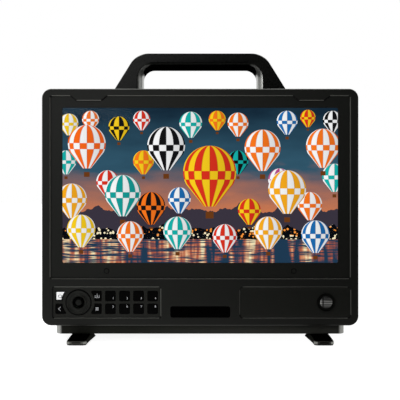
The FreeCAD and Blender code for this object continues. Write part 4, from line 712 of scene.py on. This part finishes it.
def dial_material():
    """Dial with faint painted reflections in lobes round its middle, and painted shade, black, on its edge.
    """
    material = finish_of("dial_black", "1f201d", roughness=0.42, spread=0.12, scale=900.0, grain=0.05,
                         specular=0.15)
    tree = material.node_tree
    x, z = offsets(tree, "jog_dial")
    reflection_wave = calc(tree, "COSINE", product(tree, calc(tree, "ARCTAN2", z, x), REFLECTION_LOBES))
    # Painted reflections in lobes round the middle
    retone(material, remap(tree, reflection_wave, -1, 1, 0, REFLECTION_LOBE_SHARE), "292a26")
    reach = in_mm(tree, length(tree, x, z))
    # Painted shade, black, on the edge in the gap round the dial
    retone(material, calc(tree, "GREATER_THAN", reach, DIAL_FACE_R), "010101")
    return material


def stick_material():
    """Black rubber with a lighter nub: the rest of the cap is painted near black as shade in its well."""
    material = finish_of("stick_rubber", "030303", roughness=0.62, spread=0.15, scale=1500.0, grain=0.20,
                         specular=0.06)
    tree = material.node_tree
    reach = reach_from(tree, "joystick_cap")
    # The nub is lighter; the rest keeps the painted shade of the well
    retone(material, calc(tree, "LESS_THAN", reach, STICK_NUB_R), "242523")
    return material


def magnet_material():
    """Coated magnets, each with a dark ring at its edge."""
    material = finish_of("magnet_black", "222320", roughness=0.46, spread=0.12, scale=900.0, specular=0.20)
    tree = material.node_tree
    low, high = corners("guard_magnets")
    radius = (high.z - low.z) / 2
    magnet_x = high.x - radius - (low.x + high.x) / 2
    x, z = offsets(tree, "guard_magnets")
    reach = length(tree, calc(tree, "SUBTRACT", magnitude(tree, x), magnet_x), z)
    retone(material, calc(tree, "GREATER_THAN", reach, radius - MAGNET_RING * MM), "020202")
    return material


# Knob's face, in millimetres from its middle. A share is how strong a tone is
HIGHLIGHT_HEIGHTS = (1.3, -0.8)
HIGHLIGHT_FADE = (0.35, 0.75)
KNOB_TOP_FADE = (4.7, 5.8)
KNOB_BOTTOM_FADE = (-3.2, -5.2)
KNOB_EDGE_SHADE_SHARE = 0.85
STRIPE_LEFT = 3.5
STRIPE_FADE = (0.5, 1.2)
STRIPE_SHARE = 0.8


def knob_material():
    """Turned metal with two painted highlight streaks, painted shade at its top and bottom, and a dark
    stripe.
    """
    material = finish_of("knob_metal", "8a8a88", roughness=0.34, spread=0.20, scale=260.0, grain=0.25,
                         metallic=1.0, stretch=(0.25, 1, 8))
    tree = material.node_tree
    across, up = (in_mm(tree, value) for value in offsets(tree, "volume_knob"))
    for height in HIGHLIGHT_HEIGHTS:
        gap = magnitude(tree, calc(tree, "SUBTRACT", up, height))
        # Painted highlight streaks across the face
        retone(material, falling(tree, gap, *HIGHLIGHT_FADE), "f4f4f0")
    for fade in (KNOB_TOP_FADE, KNOB_BOTTOM_FADE):
        # Painted shade toward the top and the bottom
        retone(material, remap(tree, up, *fade, 0.0, KNOB_EDGE_SHADE_SHARE), "2c2c2a")
    gap = magnitude(tree, calc(tree, "ADD", across, STRIPE_LEFT))
    retone(material, remap(tree, gap, *STRIPE_FADE, STRIPE_SHARE, 0.0), "2c2c2c")
    return material


WINDOW_GLOW = 0.45
# Lit window, in millimetres from the key's sides and from the dial's middle
WINDOW_LEFT = 2.0
WINDOW_RIGHT = 1.3
WINDOW_BOTTOM = 2.5
WINDOW_TOP = 2.0
WINDOW_FROM_DIAL = 18.4
WINDOW_LEAN = (0.95, 1.1)


def power_key_material():
    """Black key with a lit window, which keeps clear of the key's edge beside the dial."""
    material = glow_of("key_lit", "f6f7f8", WINDOW_GLOW, spread=0.06, scale=300.0)
    tree, shader = parts_of(material)
    low, high = corners("power_key")
    width, _, height = (high - low) / MM
    window = product(
        tree,
        within(tree, "power_key", WINDOW_LEFT, width - WINDOW_RIGHT, WINDOW_BOTTOM, height - WINDOW_TOP),
        calc(tree, "GREATER_THAN", reach_from(tree, "jog_dial"), WINDOW_FROM_DIAL),
        facing_front(tree, *WINDOW_LEAN),
    )
    feed(tree, product(tree, window, WINDOW_GLOW), shader.inputs["Emission Strength"])
    retone(material, inverse(tree, window), "060606")
    return material


# Materials of the CAD nodes

coat = finish_of("body_coat", **COAT)
key_black = finish_of("key_black", "050505", roughness=0.42, spread=0.15, scale=1100.0, grain=0.06,
                      specular=0.06)
badge_gloss = finish_of("badge_gloss", "020202", roughness=0.18, spread=0.10, scale=400.0, specular=0.06)
pad_rubber = finish_of("pad_rubber", "0f0f10", roughness=0.75, spread=0.15, scale=1500.0, grain=0.25,
                       specular=0.3)
inner_plastic = finish_of("inner_plastic", "1a1a1c", roughness=0.55, spread=0.12, scale=900.0, grain=0.08)
board_green = finish_of("board_green", "123d28", roughness=0.45, spread=0.20, scale=500.0, grain=0.05)
inner_metal = finish_of("inner_metal", "a9abad", roughness=0.42, spread=0.08, scale=700.0, grain=0.05,
                        metallic=1.0, stretch=(1, 1, 12))
diffuser = finish_of("diffuser", "d8d8d6", roughness=0.5, spread=0.05, scale=400.0)
screw_steel = finish_of("screw_steel", "55565a", roughness=0.36, spread=0.12, scale=1200.0, grain=0.05,
                        metallic=1.0)
nickel = finish_of("nickel", "b9b6ad", roughness=0.24, spread=0.06, scale=900.0, grain=0.03, metallic=1.0)
brass = finish_of("brass", "b08a45", roughness=0.32, spread=0.10, scale=900.0, grain=0.04, metallic=1.0)
socket_black = finish_of("socket_black", "121213", roughness=0.48, spread=0.12, scale=900.0, grain=0.08)
gasket_black = finish_of("gasket_black", "0a0a0b", roughness=0.85, spread=0.15, scale=1200.0, grain=0.2,
                         specular=0.2)
legend_white = glow_of("legend_white", "c6c8cb", strength=0.36, spread=0.08, scale=900.0)
legend_grey = finish_of("legend_grey", "4a4b4e", roughness=0.5, spread=0.1, scale=900.0)

FUNCTION_KEYS = range(1, 9)
LOOKS = {
    coat: ("rear_housing", "connector_panel"),
    bezel_material(): ("front_bezel",),
    handle_material(): ("handle",),
    base_material(): ("base_plate",),
    foot_material(): ("foot_arm_left", "foot_arm_right"),
    control_material(): ("control_panel",),
    side_material(): ("side_panel",),
    key_black: ("back_key", "input_key", "menu_key", *(f"function_key_{n}" for n in FUNCTION_KEYS)),
    power_key_material(): ("power_key",),
    dial_material(): ("jog_dial",),
    stick_material(): ("joystick_cap",),
    badge_gloss: ("badge_plate",),
    magnet_material(): ("guard_magnets",),
    pad_rubber: ("foot_pad_left", "foot_pad_right", "rear_bumpers"),
    inner_plastic: (
        "dial_guide", "joystick_base", "joystick_yoke", "key_switches", "volume_pot", "fan_frame",
        "fan_rotor",
    ),
    board_green: ("main_board", "key_board", "connector_board"),
    inner_metal: ("mid_plate", "heat_sink", "joystick_stick"),
    diffuser: ("backlight_unit",),
    screw_steel: (
        "housing_screws", "handle_screws", "base_plate_screws", "small_screws", "foot_pivots", "pot_nut",
        "knob_shaft",
    ),
    nickel: ("bnc_jacks", "bnc_nuts", "hdmi_sockets"),
    brass: ("rear_inserts", "thread_inserts"),
    knob_material(): ("volume_knob",),
    socket_black: ("power_socket", "headphone_jack"),
    gasket_black: ("screen_gasket",),
    glass_material(): ("cover_glass",),
    picture_material(): ("lcd_panel",),
}
for material, names in LOOKS.items():
    for name in names:
        slots = nodes[name].data.materials
        slots.clear()
        slots.append(material)


# Signs on the keys: thin raised figures and outlines

SIGN_RISE = 0.03 * MM


def add_piece(name, mesh, material, body):
    """Link a sign's mesh to the scene and let it ride on its key."""
    mesh.materials.clear()
    mesh.materials.append(material)
    piece = bpy.data.objects.new(name, mesh)
    bpy.context.scene.collection.objects.link(piece)
    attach(piece, body)


def sign(name, outlines, front, material, body):
    """One piece made of flat outlines (x, z) in metres, raised a little from the key's front."""
    mesh = bpy.data.meshes.new(name)
    work = bmesh.new()
    for outline in outlines:
        near = [work.verts.new((x, front - SIGN_RISE, z)) for x, z in outline]
        far = [work.verts.new((x, front + SIGN_RISE, z)) for x, z in outline]
        work.faces.new(near)
        work.faces.new(far[::-1])
        for index in range(len(near)):
            after = (index + 1) % len(near)
            work.faces.new((near[after], near[index], far[index], far[after]))
    bmesh.ops.recalc_face_normals(work, faces=work.faces)
    work.to_mesh(mesh)
    work.free()
    add_piece(name, mesh, material, body)


def bar(x, z, width, height):
    """Outline of an upright rectangle, its middle at (x, z)."""
    return [(x - width / 2, z - height / 2), (x + width / 2, z - height / 2),
            (x + width / 2, z + height / 2), (x - width / 2, z + height / 2)]


def stroke(points, width):
    """Outline of a bent line of even width."""
    left, right = [], []
    for index, point in enumerate(points):
        here = Vector(point)
        before = (here - Vector(points[index - 1])).normalized() if index else None
        after = (Vector(points[index + 1]) - here).normalized() if index + 1 < len(points) else None
        along = before or after
        if before and after:
            along = (before + after).normalized()
        reach = width / 2 / (along.dot(before or after))
        side = Vector((-along.y, along.x)) * reach
        left.append(tuple(here + side))
        right.append(tuple(here - side))
    return left + right[::-1]


def arc(x, z, radius, start, end, steps=20):
    turns = [math.radians(start + (end - start) * i / steps) for i in range(steps + 1)]
    return [(x + radius * math.cos(t), z + radius * math.sin(t)) for t in turns]


def key_face(name):
    """Middle of a key across, its front, and its middle in height."""
    low, high = corners(name)
    return (low.x + high.x) / 2, low.y, (low.z + high.z) / 2


FIGURE_HEIGHT = 2.2 * MM
FONT_SHARE = 1.38
FIGURE_ASIDE = 2.9 * MM
FIGURE_OFFSET = 2.4 * MM
UPPER_ROW_LAST = 4


def digit(number, x, front, z, body):
    """A figure as closed thin mesh, its middle at (x, z)."""
    words = bpy.data.curves.new(f"digit_{number}", "FONT")
    words.body = str(number)
    words.align_x = "CENTER"
    words.align_y = "CENTER"
    words.size = FIGURE_HEIGHT * FONT_SHARE
    words.extrude = SIGN_RISE
    holder = bpy.data.objects.new(f"digit_{number}_words", words)
    bpy.context.scene.collection.objects.link(holder)
    shape = holder.evaluated_get(bpy.context.evaluated_depsgraph_get())
    mesh = bpy.data.meshes.new_from_object(shape)
    bpy.data.objects.remove(holder)
    mesh.transform(Matrix.Translation((x, front, z)) @ Matrix.Rotation(math.pi / 2, 4, "X"))
    add_piece(f"digit_{number}", mesh, legend_white, body)


def figures():
    """A figure on each function key, low on the upper row and high on the lower one."""
    for number in FUNCTION_KEYS:
        x, front, z = key_face(f"function_key_{number}")
        offset = -FIGURE_OFFSET if number <= UPPER_ROW_LAST else FIGURE_OFFSET
        digit(number, x + FIGURE_ASIDE, front, z + offset, f"function_key_{number}")


POWER_LEFT = 0.6 * MM
POWER_LINE = 0.60 * MM
POWER_RING_R = 1.75 * MM
POWER_RING_DROP = 0.2 * MM
POWER_RING_ENDS = (125, 415)
POWER_STEM_RISE = 1.35 * MM
POWER_STEM_LENGTH = 1.9 * MM


def power_sign():
    x, front, z = key_face("power_key")
    x -= POWER_LEFT
    ring = stroke(arc(x, z - POWER_RING_DROP, POWER_RING_R, *POWER_RING_ENDS), POWER_LINE)
    stem = bar(x, z + POWER_STEM_RISE, POWER_LINE, POWER_STEM_LENGTH)
    sign("power_sign", [ring, stem], front, legend_grey, "power_key")


CHEVRON_LEFT = 1.2 * MM
CHEVRON_LINE = 0.40 * MM
CHEVRON_HALF_WIDTH = 1.1 * MM
CHEVRON_HALF_HEIGHT = 2.0 * MM


def back_sign():
    x, front, z = key_face("back_key")
    x -= CHEVRON_LEFT
    points = [(x + CHEVRON_HALF_WIDTH, z + CHEVRON_HALF_HEIGHT), (x - CHEVRON_HALF_WIDTH, z),
              (x + CHEVRON_HALF_WIDTH, z - CHEVRON_HALF_HEIGHT)]
    chevron = stroke(points, CHEVRON_LINE)
    sign("back_sign", [chevron], front, legend_white, "back_key")


INPUT_RIGHT = 0.9 * MM
INPUT_LINE = 0.36 * MM
TRAY_HALF_WIDTH = 2.1 * MM
TRAY_TOP = 0.9 * MM
TRAY_DROP = 1.7 * MM
SHAFT_RISE = 1.2 * MM
SHAFT_LENGTH = 2.4 * MM
HEAD_HALF_WIDTH = 0.8 * MM
HEAD_TOP = 0.1 * MM
HEAD_DROP = 0.8 * MM


def input_sign():
    """An arrow that points down into a tray."""
    x, front, z = key_face("input_key")
    x += INPUT_RIGHT
    points = [(x - TRAY_HALF_WIDTH, z + TRAY_TOP), (x - TRAY_HALF_WIDTH, z - TRAY_DROP),
              (x + TRAY_HALF_WIDTH, z - TRAY_DROP), (x + TRAY_HALF_WIDTH, z + TRAY_TOP)]
    tray = stroke(points, INPUT_LINE)
    shaft = bar(x, z + SHAFT_RISE, INPUT_LINE, SHAFT_LENGTH)
    head = [(x - HEAD_HALF_WIDTH, z + HEAD_TOP), (x + HEAD_HALF_WIDTH, z + HEAD_TOP), (x, z - HEAD_DROP)]
    sign("input_sign", [tray, shaft, head], front, legend_white, "input_key")


MENU_RIGHT = 0.8 * MM
MENU_PITCH = 1.15 * MM
MENU_WIDTH = 3.2 * MM
MENU_LINE = 0.5 * MM


def menu_sign():
    x, front, z = key_face("menu_key")
    x += MENU_RIGHT
    lines = [bar(x, z + step * MENU_PITCH, MENU_WIDTH, MENU_LINE) for step in (-1, 0, 1)]
    sign("menu_sign", lines, front, legend_white, "menu_key")


figures()
power_sign()
back_sign()
input_sign()
menu_sign()


# Floor, world, lamps and camera, with places in metres

FLOOR_HALF = 30.0
FLOOR_FADE = (-0.08, 0.12)
PAPER_LEFT = 0.85
PAPER_RIGHT = 0.15
SEEN_WHITE = (0.89, 0.98)
FLOOR_GLOW = (0.68, 0.0)
MIRRORED_DEPTHS = (-0.18, -0.08)
MIRRORED_STRENGTH = (0.02, 0.75)


def floor_material():
    """White to the camera, and a weaker light for the object toward the right."""
    material, tree, shader = blank("floor")
    tree.nodes.remove(shader)
    x, y, _ = axes(tree)
    to_right = rising(tree, x, *FLOOR_FADE)
    ray = tree.nodes.new("ShaderNodeLightPath")
    seen = ray.outputs["Is Camera Ray"]
    paper = tree.nodes.new("ShaderNodeBsdfDiffuse")
    feed(tree, mix(tree, to_right, grey(PAPER_LEFT), grey(PAPER_RIGHT)), paper.inputs["Color"])
    lift = tree.nodes.new("ShaderNodeEmission")
    white = product(tree, seen, remap(tree, to_right, 0.0, 1.0, *SEEN_WHITE))
    glow = product(tree, inverse(tree, seen), remap(tree, to_right, 0.0, 1.0, *FLOOR_GLOW))
    feed(tree, calc(tree, "ADD", white, glow), lift.inputs["Strength"])
    total = tree.nodes.new("ShaderNodeAddShader")
    tree.links.new(paper.outputs[0], total.inputs[0])
    tree.links.new(lift.outputs[0], total.inputs[1])
    mirrored = tree.nodes.new("ShaderNodeEmission")
    feed(tree, remap(tree, y, *MIRRORED_DEPTHS, *MIRRORED_STRENGTH), mirrored.inputs["Strength"])
    choice = tree.nodes.new("ShaderNodeMixShader")
    tree.links.new(ray.outputs["Is Glossy Ray"], choice.inputs[0])
    tree.links.new(total.outputs[0], choice.inputs[1])
    tree.links.new(mirrored.outputs[0], choice.inputs[2])
    tree.links.new(choice.outputs[0], tree.nodes["Material Output"].inputs["Surface"])
    return material


def add_floor(scene):
    mesh = bpy.data.meshes.new("floor")
    ends = (-FLOOR_HALF, FLOOR_HALF)
    square = [(ends[0], ends[0], 0), (ends[1], ends[0], 0), (ends[1], ends[1], 0), (ends[0], ends[1], 0)]
    mesh.from_pydata(square, [], [(0, 1, 2, 3)])
    mesh.materials.append(floor_material())
    floor = bpy.data.objects.new("floor", mesh)
    scene.collection.objects.link(floor)


# Shares of the direction, and strengths of the light from there
BEHIND_SPAN = (-0.10, 0.25)
BEHIND_STRENGTH = 0.85
SIDES_SPAN = (0.45, 0.70)
SIDES_STRENGTH = 0.60
LEVEL_SPAN = (0.35, 0.60)
LEAST_STRENGTH = 0.02


def add_world(scene):
    """Bright behind and at the left, dark in front. The right side shows only in reflections."""
    world = bpy.data.worlds.new("studio")
    scene.world = world
    world.use_nodes = True
    tree = world.node_tree
    back = tree.nodes["Background"]
    back.inputs["Color"].default_value = grey(1)
    direction = tree.nodes.new("ShaderNodeTexCoord")
    x, y, z = parted(tree, direction.outputs["Generated"])
    ray = tree.nodes.new("ShaderNodeLightPath")
    behind = remap(tree, y, *BEHIND_SPAN, 0.0, BEHIND_STRENGTH)
    sides = remap(tree, magnitude(tree, x), *SIDES_SPAN, 0.0, SIDES_STRENGTH)
    level = falling(tree, magnitude(tree, z), *LEVEL_SPAN)
    left = calc(tree, "LESS_THAN", x, 0.0)
    level = product(tree, level, calc(tree, "MAXIMUM", left, ray.outputs["Is Glossy Ray"]))
    strength = calc(tree, "MAXIMUM", behind, product(tree, sides, level))
    strength = calc(tree, "MAXIMUM", strength, LEAST_STRENGTH)
    strength = calc(tree, "MAXIMUM", strength, ray.outputs["Is Camera Ray"])
    feed(tree, strength, back.inputs["Strength"])


def add_lamp(scene, name, energy, place, aim, width, height, spread):
    data = bpy.data.lights.new(name, "AREA")
    data.energy = energy
    data.shape = "RECTANGLE"
    data.size = width
    data.size_y = height
    data.spread = spread
    lamp = bpy.data.objects.new(name, data)
    lamp.location = place
    lamp.rotation_euler = (Vector(aim) - Vector(place)).to_track_quat("-Z", "Y").to_euler()
    scene.collection.objects.link(lamp)


CAMERA_LENS = 77.13
CAMERA_SENSOR = 36.0
CAMERA_X = -0.0002
CAMERA_DISTANCE = 0.900
CAMERA_HEIGHT = 0.148
PICTURE_PIXELS = 400


def add_camera(scene):
    """Camera that looks straight at the front from a set distance."""
    data = bpy.data.cameras.new("camera")
    data.lens = CAMERA_LENS
    data.sensor_width = CAMERA_SENSOR
    camera = bpy.data.objects.new("camera", data)
    bezel_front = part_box("front_bezel")[0][1]
    camera.location = (CAMERA_X, bezel_front - CAMERA_DISTANCE, CAMERA_HEIGHT)
    camera.rotation_euler = (math.pi / 2, 0, 0)
    scene.collection.objects.link(camera)
    scene.camera = camera


scene = bpy.context.scene
add_floor(scene)
add_world(scene)
add_lamp(scene, "overhead", energy=2.6, place=(0, 0, 1.5), aim=(0, 0.05, 0), width=1.3, height=0.8,
         spread=math.pi)
add_lamp(scene, "left_box", energy=0.145, place=(-0.33, -0.95, 0.52), aim=(-0.02, 0, 0.17), width=0.40,
         height=0.40, spread=math.radians(44))
add_camera(scene)
scene.render.engine = "CYCLES"
scene.render.resolution_x = PICTURE_PIXELS
scene.render.resolution_y = PICTURE_PIXELS
scene.view_settings.view_transform = "Standard"
